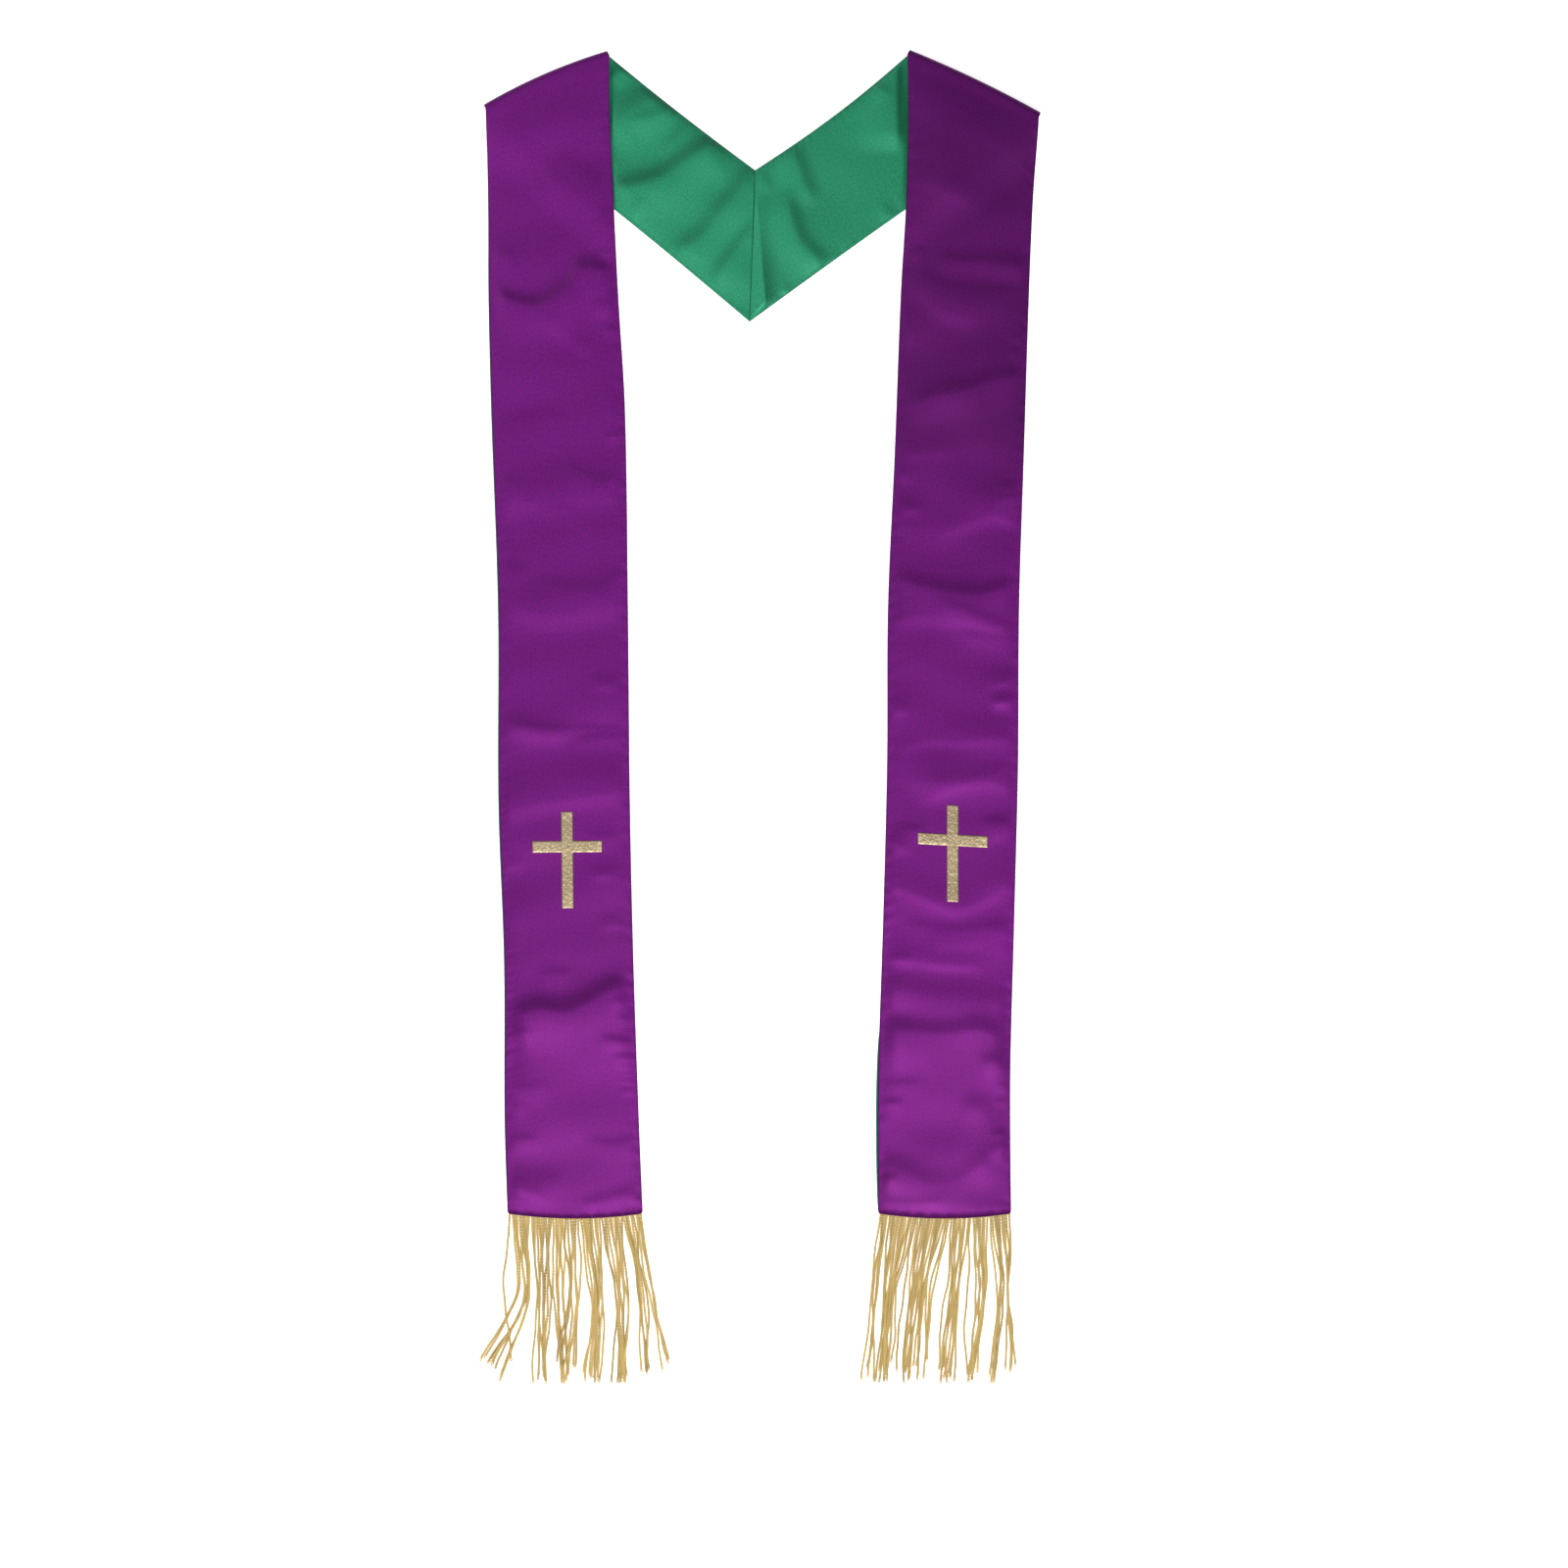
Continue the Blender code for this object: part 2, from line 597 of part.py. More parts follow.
def cross(side, panel):
    """Thin cross that follows the purple ply under it, 0.3 mm clear of its faces."""
    shape = side.cross
    surface = BVHTree.FromObject(panel, bpy.context.evaluated_depsgraph_get())
    half_bar = CROSS_BAR / 2.0
    half_span = CROSS_SPAN / 2.0
    xs = stations([-half_span, -half_bar, half_bar, half_span])
    ys = stations([0.0, half_bar - CROSS_ARM_DROP, -half_bar - CROSS_ARM_DROP, -CROSS_HEIGHT])
    lean = math.tan(math.radians(shape.lean))
    tilt = math.tan(math.radians(shape.arm_tilt))
    bm = bmesh.new()
    pairs = {}

    def corner(column, row):
        if (column, row) not in pairs:
            x = shape.middle_x + xs[column] - (ys[row] + CROSS_ARM_DROP) * lean
            y = shape.top_y + ys[row] + xs[column] * tilt
            hit = surface.ray_cast(Vector((x, y, WELL_ABOVE)) * MM, Vector((0.0, 0.0, -1.0)))[0]
            under = hit + Vector((0.0, 0.0, PARTED * MM))
            over = under + Vector((0.0, 0.0, CROSS_THICK * MM))
            pairs[(column, row)] = (bm.verts.new(under), bm.verts.new(over))
        return pairs[(column, row)]

    edge_use = {}
    for column in range(len(xs) - 1):
        for row in range(len(ys) - 1):
            middle_x = (xs[column] + xs[column + 1]) / 2.0
            middle_y = (ys[row] + ys[row + 1]) / 2.0
            in_arm = abs(middle_y + CROSS_ARM_DROP) < half_bar
            if abs(middle_x) > half_bar and not in_arm:
                continue
            keys = [(column, row), (column + 1, row), (column + 1, row + 1), (column, row + 1)]
            corners = [corner(*key) for key in keys]
            bm.faces.new([pair[0] for pair in corners])
            bm.faces.new([pair[1] for pair in corners])
            for start, end in zip(keys, keys[1:] + keys[:1]):
                if (end, start) in edge_use:
                    del edge_use[(end, start)]
                else:
                    edge_use[(start, end)] = True
    for start, end in edge_use:
        a = pairs[start]
        b = pairs[end]
        bm.faces.new((a[0], b[0], b[1], a[1]))
    return bm


def linear(channel):
    """Linear value of an sRGB channel out of 255."""
    channel = channel / 255.0
    if channel <= 0.04045:
        return channel / 12.92
    return ((channel + 0.055) / 1.055) ** 2.4


def material(name, finish):
    """Principled material of one piece."""
    made = bpy.data.materials.new(name)
    made.use_nodes = True
    shader = made.node_tree.nodes["Principled BSDF"]
    colour = [linear(channel) for channel in finish.colour]
    shader.inputs["Base Color"].default_value = (*colour, 1.0)
    shader.inputs["Roughness"].default_value = finish.roughness
    shader.inputs["Metallic"].default_value = finish.metallic
    made.diffuse_color = (*colour, 1.0)
    return made


def place(bm, name, finish, parent):
    """Turn a bmesh into a named object with its material, faces pointing out."""
    bmesh.ops.recalc_face_normals(bm, faces=bm.faces)
    mesh = bpy.data.meshes.new(name)
    bm.to_mesh(mesh)
    bm.free()
    mesh.shade_smooth()
    mesh.set_sharp_from_angle(angle=SHARP_ANGLE)
    mesh.materials.append(material(name, finish))
    made = bpy.data.objects.new(name, mesh)
    bpy.context.collection.objects.link(made)
    made.parent = parent
    return made


def build():
    """Clear the scene and build every piece of the stole."""
    for old in list(bpy.data.objects):
        bpy.data.objects.remove(old)
    stole = bpy.data.objects.new("stole", None)
    bpy.context.collection.objects.link(stole)
    for side in SIDES:
        place(wall(ply_rows(side, GREEN)), f"green_{side.name}", FINISHES["green"], stole)
        panel = place(wall(ply_rows(side, PURPLE)), f"purple_{side.name}", FINISHES["purple"], stole)
        bpy.context.view_layer.update()
        place(cross(side, panel), f"cross_{side.name}", FINISHES["cross"], stole)
        place(fringe(side), f"fringe_{side.name}", FINISHES["fringe"], stole)


build()
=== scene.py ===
"""A reversible clerical stole laid out flat: satin strips, foil crosses, cut fringe, and its stage.

The tables are in millimetres: +X to the right of the laid-out stole, +Y towards its neck, +Z up
out of the surface. Each strip of satin runs from the mitred seam at the centre back, over the
shoulder fold, down to its hem. The neck lies green side up and the fronts lie purple side up.
"""

import math
from collections import namedtuple

import bmesh
import bpy
import numpy as np
from bpy.props import FloatProperty, FloatVectorProperty, PointerProperty
from bpy.types import Operator, Panel, PropertyGroup
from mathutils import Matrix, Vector
from mathutils.bvhtree import BVHTree


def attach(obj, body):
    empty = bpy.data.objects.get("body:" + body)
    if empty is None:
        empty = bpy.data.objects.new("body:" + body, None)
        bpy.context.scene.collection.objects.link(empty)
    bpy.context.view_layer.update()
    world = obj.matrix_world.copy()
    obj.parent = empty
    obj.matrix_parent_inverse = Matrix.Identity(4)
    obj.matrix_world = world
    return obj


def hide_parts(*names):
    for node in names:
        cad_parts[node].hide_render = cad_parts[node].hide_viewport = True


bl_info = {
    "name": "Clerical Stole",
    "version": (1, 0, 0),
    "blender": (4, 5, 0),
    "location": "View3D > Sidebar > Stole",
    "description": "Satin strips, foil crosses, cut fringe and stage of a stole laid out flat",
    "category": "Object",
}

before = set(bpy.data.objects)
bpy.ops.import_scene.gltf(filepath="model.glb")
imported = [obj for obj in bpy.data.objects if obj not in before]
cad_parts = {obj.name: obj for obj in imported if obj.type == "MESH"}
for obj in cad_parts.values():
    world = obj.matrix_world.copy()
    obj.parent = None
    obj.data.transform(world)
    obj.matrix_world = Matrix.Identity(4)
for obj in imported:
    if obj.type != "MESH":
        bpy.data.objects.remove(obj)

MM = 0.001
BODY = "root"
DOWN = Vector((0.0, 0.0, -1.0))
WHITE = (1.0, 1.0, 1.0, 1.0)
FAR = 1e3                  # where no seam is near

# Cloth
STACK = 2.3                # both plies of a strip, one on the other
WALL = 0.35                # one ply of satin with its light interfacing
ROLL = 1.1                 # radius of a sewn edge, where a ply turns in to the seam
ARC_STEPS = 6
SEAM_DEPTH = 1.15          # where the two plies meet, below the top of a strip
TUCK_IN = 0.5              # how far inside the seam a ply ends
TUCK_DEPTHS = (-0.02, 0.22)
WRAP_IN = -0.03            # and where the green ply ends that wraps round the seam
WRAP_DEPTHS = (0.55, 0.85)
WRAP_START = 0.02
EDGE_SPACING = (0.9, 1.9, 3.1, 4.6, 6.4, 8.6, 11.2)
MIDDLE_COLUMNS = 34
SWELL_WAVES = (38.0, 130.0)
PUCKER_WAVES = (6.0, 21.0)
PUCKER_START = 1.6
PUCKER_REACH = 5.5
PUCKER_LEAN = 0.35
PUCKER_GAIN = 1.8
PUCKER_SUM = 2.6           # waves that sum to this make a pucker of full height
HEM_PUCKER_START = 1.2
HEM_PUCKER_REACH = 5.0
HEM_PUCKER_GAIN = 3.2

# Shoulder fold, a round turn of both plies
TURN_RADIUS = 4.8
TURN_STEPS = 16
TURN_MEET = 30.0
ABOVE_NECK = 2.7           # underside of a front where it lies on the neck
EDGE_LEDGE = 4.0           # a front stays up this far past the neck's lower edge
EDGE_SETTLE = 35.0

# Fronts
PURPLE_ROW_PITCH = 2.0
GREEN_ROW_PITCH = 8.0      # the green ply lies hidden under a front
HEM_ROWS = (3.2, 2.3, 1.6, 1.1, 0.75, 0.45, 0.22, 0.07, 0.0)
HEM_Y = -426.5
HEM_BOW = 4.0
HEM_BOW_REACH = 60.0
HEM_RAISE = 1.1            # room for the fringe heading between the plies
HEM_CORNER = 2.5
SLANT_REACH = 380.0
FRONT_LOFT = 1.8           # air between the plies at the middle of a front
LOFT_START = 45.0
CREASE_GAIN = 0.8          # on all the crease heights of the tables below
CREASE_START = 14.0        # creases fade over this length at the shoulder and the hem
CREASE_END = 11.0          # and each runs out over this length at its own ends
EDGE_RUN_OUT = 6.0         # inside the sewn edges, and further for a broad crease
SWELL_RUN_OUT = 9.0
LOWEST_LIFT = -1.1
HEAVE_START = 95.0         # the broad rise below a loosely turned shoulder
HEAVE_LEVEL = 170.0
HEAVE_FADE = 190.0
HEAVE_CREST = 0.58

# Neck
GREEN_NECK_ROWS = 120
PURPLE_NECK_ROWS = 20      # the purple ply lies hidden under the neck
SEAM_INNER = (-4.2, 470.8)
SEAM_OUTER = (-8.9, 340.6)
NECK_CROWDING = 1.5        # rows stand closer together near the mitre
NECK_LOFT = 1.0
NECK_EASE = 0.5
NECK_LOFT_START = 2.5
SEAM_DIP = 0.5             # share of the neck's loft that is left at the mitre
SEAM_DIP_REACH = 18.0
SEAM_HALF_GAP = -0.02      # the strips are sewn together, so that nothing shows between them
SEAM_ROLL = 0.6
PLEAT_HEIGHT = 4.5
PLEAT_WIDTH = 15.0
PLEAT_FALL = 20.0
PLEAT_TOP_Y = 465.0
PLEAT_SLOPE = 2.4          # how steeply its far side falls off
PLEAT_EASE = 7.0           # the tuck lies down again over this length at the sewn edge

# Painted sheen and shade in the satin's colour: lighter where a fold tilts towards the way that its floats
# catch the light, duller where it tilts away, and painted shade darker beside a seam, at the hem and just
# past the shoulder fold
FRONT_PAINTED_LIGHT = (0.3, -1.0)
PAINTED_TILT_GAIN = 1.25
PAINTED_TILT_RANGE = (-0.28, 0.09)
NECK_PAINTED_TILT_RANGE = (-0.42, 0.09)
EDGE_SHADE = 0.7
EDGE_SHADE_REACH = 0.9
HEM_SHADE = 1.4
HEM_SHADE_REACH = 3.6
MITRE_SHADE_REACH = 0.5
TURN_SHADE = 0.25
TURN_SHADE_REACH = 6.0

# Fringe
HEADING_LOW = 1.3          # the woven band that holds the strands, inside the hem
HEADING_HIGH = 2.1
HEADING_BACK = 4.0
HEADING_PROUD = 0.4
HEADING_RIB = 0.05
HEADING_RINGS = 60
HEM_MARGIN = 1.0
WAIST_Y = -499.5           # where the strands of a lock draw together
FRINGE_END_Y = -572.8
STRAND_POINTS = 26
ROOT_INSIDE = 0.6          # strands start this far inside the hem
ROOT_Z = 1.7
LEVEL_STEP = 1.4           # strands lie on one another in levels of this height
LOWEST_STRAND = 1.2

# Foil crosses
CROSS_HEIGHT = 83.0
CROSS_SPAN = 60.0
CROSS_BAR = 10.0
CROSS_ARM_DROP = 30.0      # from the top to the middle of the arms
CROSS_CELL = 0.8
CROSS_CLEAR = 0.04         # the foil lies this far above the satin
FOIL_RIM = 0.8
WELL_ABOVE = 100.0

# Stage, in metres
KEY_PLACE = (0.1, -1.9, 2.7)
KEY_SIZE = 1.2
SIDE_PLACE = (-0.8, 0.65, 0.6)
SIDE_TARGET = (-0.17, 0.4, 0.0)
SIDE_SIZE = 0.5
CAMERA_X = 0.0207
CAMERA_Y = -0.0569
TABLE_RINGS = (0.0, 0.8, 2.0, 4.0, 7.0, 10.0, 12.0)
TABLE_SPOKES = 48
TABLE_CURL_START = 7.0
TABLE_CURL_REACH = 5.0
TABLE_CURL_MM = 60.0

# Where each series of random draws starts; a side adds its outward of -1 or 1
HEM_SHADE_SEED = 5
STITCH_SEED = 5
STRAND_SEED = 7
YARN_SEED = 11
FRONT_SWELL_SEED = 20
FOIL_SEED = 30
NECK_SWELL_SEED = 40
NECK_PUCKER_SEED = 60
FRONT_PUCKER_SEED = 80
HEM_PUCKER_SEED = 90

EdgeRow = namedtuple("EdgeRow", "y outer_x inner_x")
# A crease's line is drawn along its steep flank. A flank above zero faces the neck, below zero the
# hem. The tail is the half width on the other side of its crest.
Crease = namedtuple("Crease", "height flank tail line")
# Strands that hang together: the span of their waist and of their cut ends
Lock = namedtuple("Lock", "strands waist_0 waist_1 tip_0 tip_1 tip_y_0 tip_y_1 on_top",
                  defaults=(False,))
Cross = namedtuple("Cross", "middle_x top_y lean arm_tilt")
# Where and how far the green ply shows past the purple one along a front
Show = namedtuple("Show", "at_inner_edge y_0 y_1 width")
# Painted sheen and shade of a front: how bright its colour is painted at a height, and how much brighter
# along its inner edge
Lustre = namedtuple("Lustre", "y level lean", defaults=(0.0,))
Side = namedtuple(
    "Side",
    "name outward turn_outer turn_inner turn_bow settle_outer settle_inner "
    "neck_upper_waist neck_lower_waist heave edges front_creases neck_creases locks cross show "
    "lustre neck_shine",
)

LEFT = Side(
    name="left",
    outward=-1,
    turn_outer=(-237.3, 526.5),
    turn_inner=(-131.1, 572.8),
    turn_bow=3.5,
    settle_outer=70.0,
    settle_inner=95.0,
    neck_upper_waist=1.2,
    neck_lower_waist=2.5,
    heave=0.0,
    edges=(
        EdgeRow(569.0, -237.0, -129.2),
        EdgeRow(522.0, -235.4, -129.0),
        EdgeRow(433.7, -233.5, -125.2),
        EdgeRow(362.9, -233.1, -121.8),
        EdgeRow(263.4, -230.6, -115.9),
        EdgeRow(94.8, -224.7, -113.4),
        EdgeRow(-73.8, -224.3, -111.7),
        EdgeRow(-208.6, -219.6, -108.7),
        EdgeRow(-343.5, -219.3, -104.1),
        EdgeRow(HEM_Y, -217.1, -100.7),
    ),
    front_creases=(
        Crease(3.8, 9, 30, ((-229, 367), (-193, 359), (-167, 373), (-155, 390), (-125, 387))),
        Crease(0.8, -7, 14, ((-187, 338), (-150, 312))),
        Crease(0.85, 5, 10, ((-141, 356), (-123, 358))),
        Crease(0.85, 5, 10, ((-226, 400), (-213, 402))),
        Crease(0.59, 3, 5, ((-138, 401), (-121, 402))),
        Crease(0.59, 3, 5, ((-134, 336), (-121, 335))),
        Crease(0.59, 3, 5, ((-133, 243), (-120, 244))),
        Crease(1.3, 14, 30, ((-172, 484), (-129, 459))),
        Crease(0.6, 7, 16, ((-225, 255), (-182, 263), (-172, 259))),
        Crease(0.85, 6, 12, ((-220, 204), (-204, 203))),
        Crease(0.9, 7, 16, ((-166, 220), (-140, 207), (-120, 209))),
        Crease(1.0, -11, 20, ((-222, 177), (-175, 182), (-120, 185))),
        Crease(0.4, 5, 9, ((-186, 182), (-159, 182))),
        Crease(0.85, 6, 12, ((-220, 130), (-202, 129))),
        Crease(0.6, 7, 16, ((-186, 118), (-140, 114), (-120, 128))),
        Crease(1.3, -13, 24, ((-220, 93), (-183, 81), (-119, 89))),
        Crease(0.68, -5, 8, ((-143, 25), (-123, 25))),
        Crease(0.4, 3, 16, ((-222, 0), (-190, -7), (-156, -8), (-117, -8))),
        Crease(1.3, -9, 10, ((-218, -12), (-192, -18), (-168, -20))),
        Crease(0.6, 5, 9, ((-154, -17), (-134, -15), (-118, -15))),
        Crease(1.5, -11, 22, ((-223, -87), (-191, -80), (-156, -75), (-114, -68))),
        Crease(0.68, 6, 10, ((-144, -99), (-123, -99))),
        Crease(0.59, -5, 8, ((-220, -130), (-205, -130))),
        Crease(0.68, -5, 7, ((-143, -138), (-124, -138))),
        Crease(0.59, -5, 8, ((-136, -182), (-118, -180))),
        Crease(0.68, 6, 12, ((-186, -217), (-163, -217))),
        Crease(3.6, 10, 46, (
            (-214, -251), (-190, -245), (-168, -247), (-147, -238), (-129, -228), (-113, -226))),
        Crease(0.59, 3, 5, ((-124, -242), (-112, -242))),
        Crease(0.59, 3, 5, ((-121, -257), (-110, -257))),
        Crease(1.02, 5, 8, ((-134, -274), (-111, -277))),
        Crease(0.85, 4, 7, ((-124, -290), (-109, -290))),
        Crease(0.51, 2.5, 4, ((-119, -299), (-109, -299))),
        Crease(0.51, 2.5, 4, ((-118, -305), (-108, -305))),
        Crease(0.51, 2.5, 4, ((-118, -311), (-108, -311))),
        Crease(0.51, 2.5, 4, ((-118, -319), (-107, -319))),
        Crease(0.68, 5, 9, ((-213, -268), (-197, -268))),
        Crease(0.5, 6, 11, ((-213, -317), (-186, -314))),
        Crease(0.51, 4, 8, ((-213, -333), (-203, -332))),
        Crease(0.68, 5, 9, ((-215, -360), (-193, -360))),
        Crease(0.9, 7, 14, ((-144, -362), (-126, -364), (-106, -360))),
        Crease(1.3, 11, 20, ((-215, -390), (-171, -394))),
        Crease(0.85, -4, 8, ((-215, -404), (-189, -415))),
        Crease(1.0, 7, 12, ((-153, -416), (-132, -410), (-105, -403))),
    ),
    neck_creases=(
        Crease(2.0, 6, 10, ((-133, 554), (-124, 557), (-117, 563))),
        Crease(3.2, 13, 22, ((-132, 508), (-123, 522), (-110, 532), (-91, 542))),
        Crease(1.2, 6, 12, ((-110, 515), (-88, 521), (-76, 526))),
        Crease(4.6, 10, 26, ((-127, 458), (-110, 462), (-88, 469), (-70, 481), (-53, 492), (-41, 499))),
        Crease(0.9, 6, 10, ((-85, 491), (-72, 503), (-62, 513))),
        Crease(1.0, 5, 9, ((-113, 434), (-104, 446))),
        Crease(3.0, 9, 20, ((-74, 403), (-49, 422), (-39, 437), (-26, 451), (-13, 471))),
        Crease(1.8, 6, 12, ((-40, 378), (-34, 390), (-23, 405), (-10, 423))),
    ),
    locks=(
        Lock(1, -217.9, -217.9, -213.7, -213.7, -562.0, -562.0, True),
        Lock(8, -208.6, -197.7, -241.5, -221.3, -550.0, -568.0),
        Lock(9, -193.5, -180.8, -191.8, -183.0, -567.0, -571.0),
        Lock(5, -176.6, -167.3, -173.2, -164.8, -573.0, -573.0),
        Lock(6, -164.8, -154.7, -175.8, -156.4, -558.0, -562.0, True),
        Lock(9, -145.4, -133.6, -152.2, -136.1, -568.0, -573.0),
        Lock(9, -126.9, -113.4, -126.0, -114.2, -573.0, -568.0),
        Lock(5, -105.0, -97.4, -102.4, -94.0, -567.0, -562.0),
        Lock(3, -95.7, -90.6, -83.9, -74.6, -566.0, -554.0),
    ),
    cross=Cross(middle_x=-165.6, top_y=-80.8, lean=0.5, arm_tilt=0.5),
    show=Show(at_inner_edge=False, y_0=480.0, y_1=-420.0, width=0.8),
    lustre=(
        Lustre(560, 1.02), Lustre(470, 0.97), Lustre(380, 1.03), Lustre(180, 1.0), Lustre(-100, 1.0),
        Lustre(-182, 0.93), Lustre(-212, 0.91), Lustre(-245, 0.97), Lustre(-272, 0.9),
        Lustre(-303, 1.0), Lustre(-333, 1.04), Lustre(-364, 0.93), Lustre(-394, 0.95),
        Lustre(-430, 0.86)),
    neck_shine=(0.25, -1.0),
)

RIGHT = Side(
    name="right",
    outward=1,
    turn_outer=(241.5, 519.7),
    turn_inner=(128.6, 573.7),
    turn_bow=2.0,
    settle_outer=70.0,
    settle_inner=170.0,
    neck_upper_waist=3.5,
    neck_lower_waist=1.7,
    heave=3.4,
    edges=(
        EdgeRow(570.0, 241.0, 126.5),
        EdgeRow(515.4, 239.4, 127.3),
        EdgeRow(443.8, 234.8, 125.6),
        EdgeRow(362.9, 231.4, 121.0),
        EdgeRow(229.7, 227.2, 115.9),
        EdgeRow(94.8, 223.0, 110.0),
        EdgeRow(-40.0, 222.1, 109.2),
        EdgeRow(-174.9, 218.8, 105.8),
        EdgeRow(-309.8, 215.4, 101.6),
        EdgeRow(HEM_Y, 216.0, 101.6),
    ),
    front_creases=(
        Crease(1.5, -5, 10, ((140, 560), (173, 547), (194, 537), (240, 521))),
        Crease(0.8, 14, 26, ((151, 517), (237, 495))),
        Crease(0.8, -8, 16, ((134, 459), (183, 437))),
        Crease(0.85, 5, 10, ((129, 403), (141, 403))),
        Crease(1.7, 8, 12, ((155, 397), (203, 395), (231, 392))),
        Crease(0.7, 7, 14, ((141, 379), (185, 369), (230, 370))),
        Crease(0.9, -8, 16, ((127, 372), (155, 345), (182, 337))),
        Crease(0.51, 4, 7, ((216, 331), (230, 328))),
        Crease(0.51, 4, 7, ((215, 316), (228, 316))),
        Crease(2.7, 10, 26, ((130, 274), (150, 282), (177, 287), (203, 296), (228, 298))),
        Crease(0.8, -7, 14, ((123, 223), (164, 225))),
        Crease(0.68, -5, 8, ((115, 204), (129, 204))),
        Crease(0.85, 5, 9, ((206, 201), (222, 202))),
        Crease(0.68, 4, 7, ((206, 191), (221, 191))),
        Crease(0.85, -5, 10, ((119, 177), (139, 175))),
        Crease(0.9, -7, 16, ((157, 156), (185, 165), (203, 170), (219, 165))),
        Crease(2.6, 9, 22, ((118, 123), (139, 118), (168, 112), (190, 111), (204, 115), (219, 117))),
        Crease(0.8, 6, 10, ((158, 102), (190, 89), (213, 81))),
        Crease(1.4, -10, 18, ((114, 78), (139, 82), (168, 79), (193, 74), (217, 66))),
        Crease(0.7, 5, 9, ((175, 75), (197, 70), (217, 66))),
        Crease(0.85, -5, 9, ((199, 25), (219, 31))),
        Crease(0.68, 4, 7, ((201, 17), (218, 17))),
        Crease(0.85, -5, 8, ((201, 9), (216, 11))),
        Crease(0.68, -5, 8, ((109, 3), (126, 3))),
        Crease(1.1, -8, 18, ((122, -30), (146, -23), (175, -23), (216, -21))),
        Crease(0.9, 9, 18, ((132, -50), (175, -50), (211, -40))),
        Crease(1.1, -8, 18, ((146, -72), (169, -62), (197, -59), (219, -65))),
        Crease(0.68, 5, 9, ((122, -93), (140, -93))),
        Crease(0.85, 5, 9, ((193, -87), (215, -87))),
        Crease(1.02, -6, 12, ((108, -111), (127, -116))),
        Crease(1.02, -6, 12, ((198, -107), (221, -97))),
        Crease(1.2, -8, 18, ((109, -146), (139, -158), (168, -168), (198, -158), (220, -144))),
        Crease(0.8, 7, 14, ((127, -174), (162, -180), (192, -178), (215, -176))),
        Crease(0.6, -7, 14, ((147, -198), (189, -198))),
        Crease(0.68, 5, 8, ((113, -204), (129, -204))),
        Crease(0.8, -6, 12, ((111, -210), (157, -215), (189, -217))),
        Crease(2.9, 16, 20, ((111, -222), (142, -228), (177, -231), (215, -236))),
        Crease(3.2, 12, 34, ((110, -260), (134, -263), (160, -265), (188, -262), (210, -268))),
        Crease(1.6, 8, 12, ((193, -291), (213, -291))),
        Crease(1.2, 10, 14, ((176, -328), (196, -328))),
        Crease(0.5, 5, 9, ((107, -313), (137, -311))),
        Crease(0.68, 4, 8, ((107, -329), (122, -329))),
        Crease(0.51, 3, 5, ((206, -300), (215, -300))),
        Crease(0.51, 3, 5, ((206, -315), (215, -315))),
        Crease(0.51, 3, 5, ((204, -328), (215, -328))),
        Crease(0.85, 4, 7, ((199, -357), (210, -354))),
        Crease(1.7, 7, 9, ((199, -370), (215, -360))),
        Crease(1.8, 13, 22, ((103, -374), (126, -385), (145, -393), (173, -390), (188, -379), (201, -371))),
        Crease(0.68, 4, 8, ((106, -394), (117, -394))),
        Crease(0.9, 7, 12, ((103, -410), (116, -416), (155, -413))),
    ),
    neck_creases=(
        Crease(2.6, 8, 16, ((31, 491), (37, 476), (43, 459), (48, 449))),
        Crease(3.4, 9, 18, ((26, 449), (32, 430), (39, 412), (59, 392))),
        Crease(0.8, 5, 8, ((5, 467), (10, 456))),
        Crease(1.0, 5, 8, ((96, 547), (113, 538))),
        Crease(1.0, 5, 8, ((107, 442), (116, 430))),
        Crease(0.8, 5, 8, ((19, 370), (31, 370))),
        Crease(4.0, 5, 30, ((120, 575), (120, 533), (121, 494))),
    ),
    locks=(
        Lock(4, 95.7, 101.6, 88.9, 96.5, -566.0, -570.0),
        Lock(5, 105.8, 110.9, 100.7, 105.0, -572.0, -572.0),
        Lock(6, 111.7, 118.4, 106.6, 112.5, -568.0, -562.0),
        Lock(1, 121.0, 121.0, 118.4, 118.4, -564.0, -564.0),
        Lock(7, 126.9, 135.3, 122.7, 129.4, -570.0, -566.0),
        Lock(5, 137.0, 143.7, 131.9, 137.8, -564.0, -568.0),
        Lock(2, 147.1, 149.8, 141.2, 143.9, -561.0, -561.0),
        Lock(8, 159.7, 171.5, 153.0, 167.3, -570.0, -573.0),
        Lock(1, 177.4, 177.4, 175.8, 175.8, -566.0, -566.0),
        Lock(7, 185.0, 194.3, 178.3, 185.0, -572.0, -568.0),
        Lock(5, 204.4, 211.2, 194.3, 204.4, -570.0, -566.0),
        Lock(4, 212.0, 215.4, 212.0, 219.6, -566.0, -562.0),
    ),
    cross=Cross(middle_x=165.6, top_y=-75.2, lean=0.0, arm_tilt=-3.0),
    show=Show(at_inner_edge=True, y_0=-270.0, y_1=-424.0, width=1.7),
    lustre=(
        Lustre(560, 0.64), Lustre(520, 0.61, 0.03), Lustre(482, 0.48, 0.08), Lustre(440, 0.58, 0.02),
        Lustre(406, 0.66), Lustre(356, 0.61, 0.12), Lustre(320, 0.64, 0.05), Lustre(280, 0.64, 0.05),
        Lustre(252, 0.55, 0.09), Lustre(215, 0.78, 0.08), Lustre(165, 0.93), Lustre(60, 0.95),
        Lustre(-20, 1.04), Lustre(-131, 0.96), Lustre(-161, 1.0), Lustre(-190, 1.18),
        Lustre(-235, 0.97), Lustre(-283, 0.88, 0.07), Lustre(-313, 0.92, 0.07),
        Lustre(-370, 0.91, 0.06), Lustre(-404, 0.78, -0.07), Lustre(-430, 0.76)),
    neck_shine=(-0.85, -0.55),
)

SIDES = (LEFT, RIGHT)


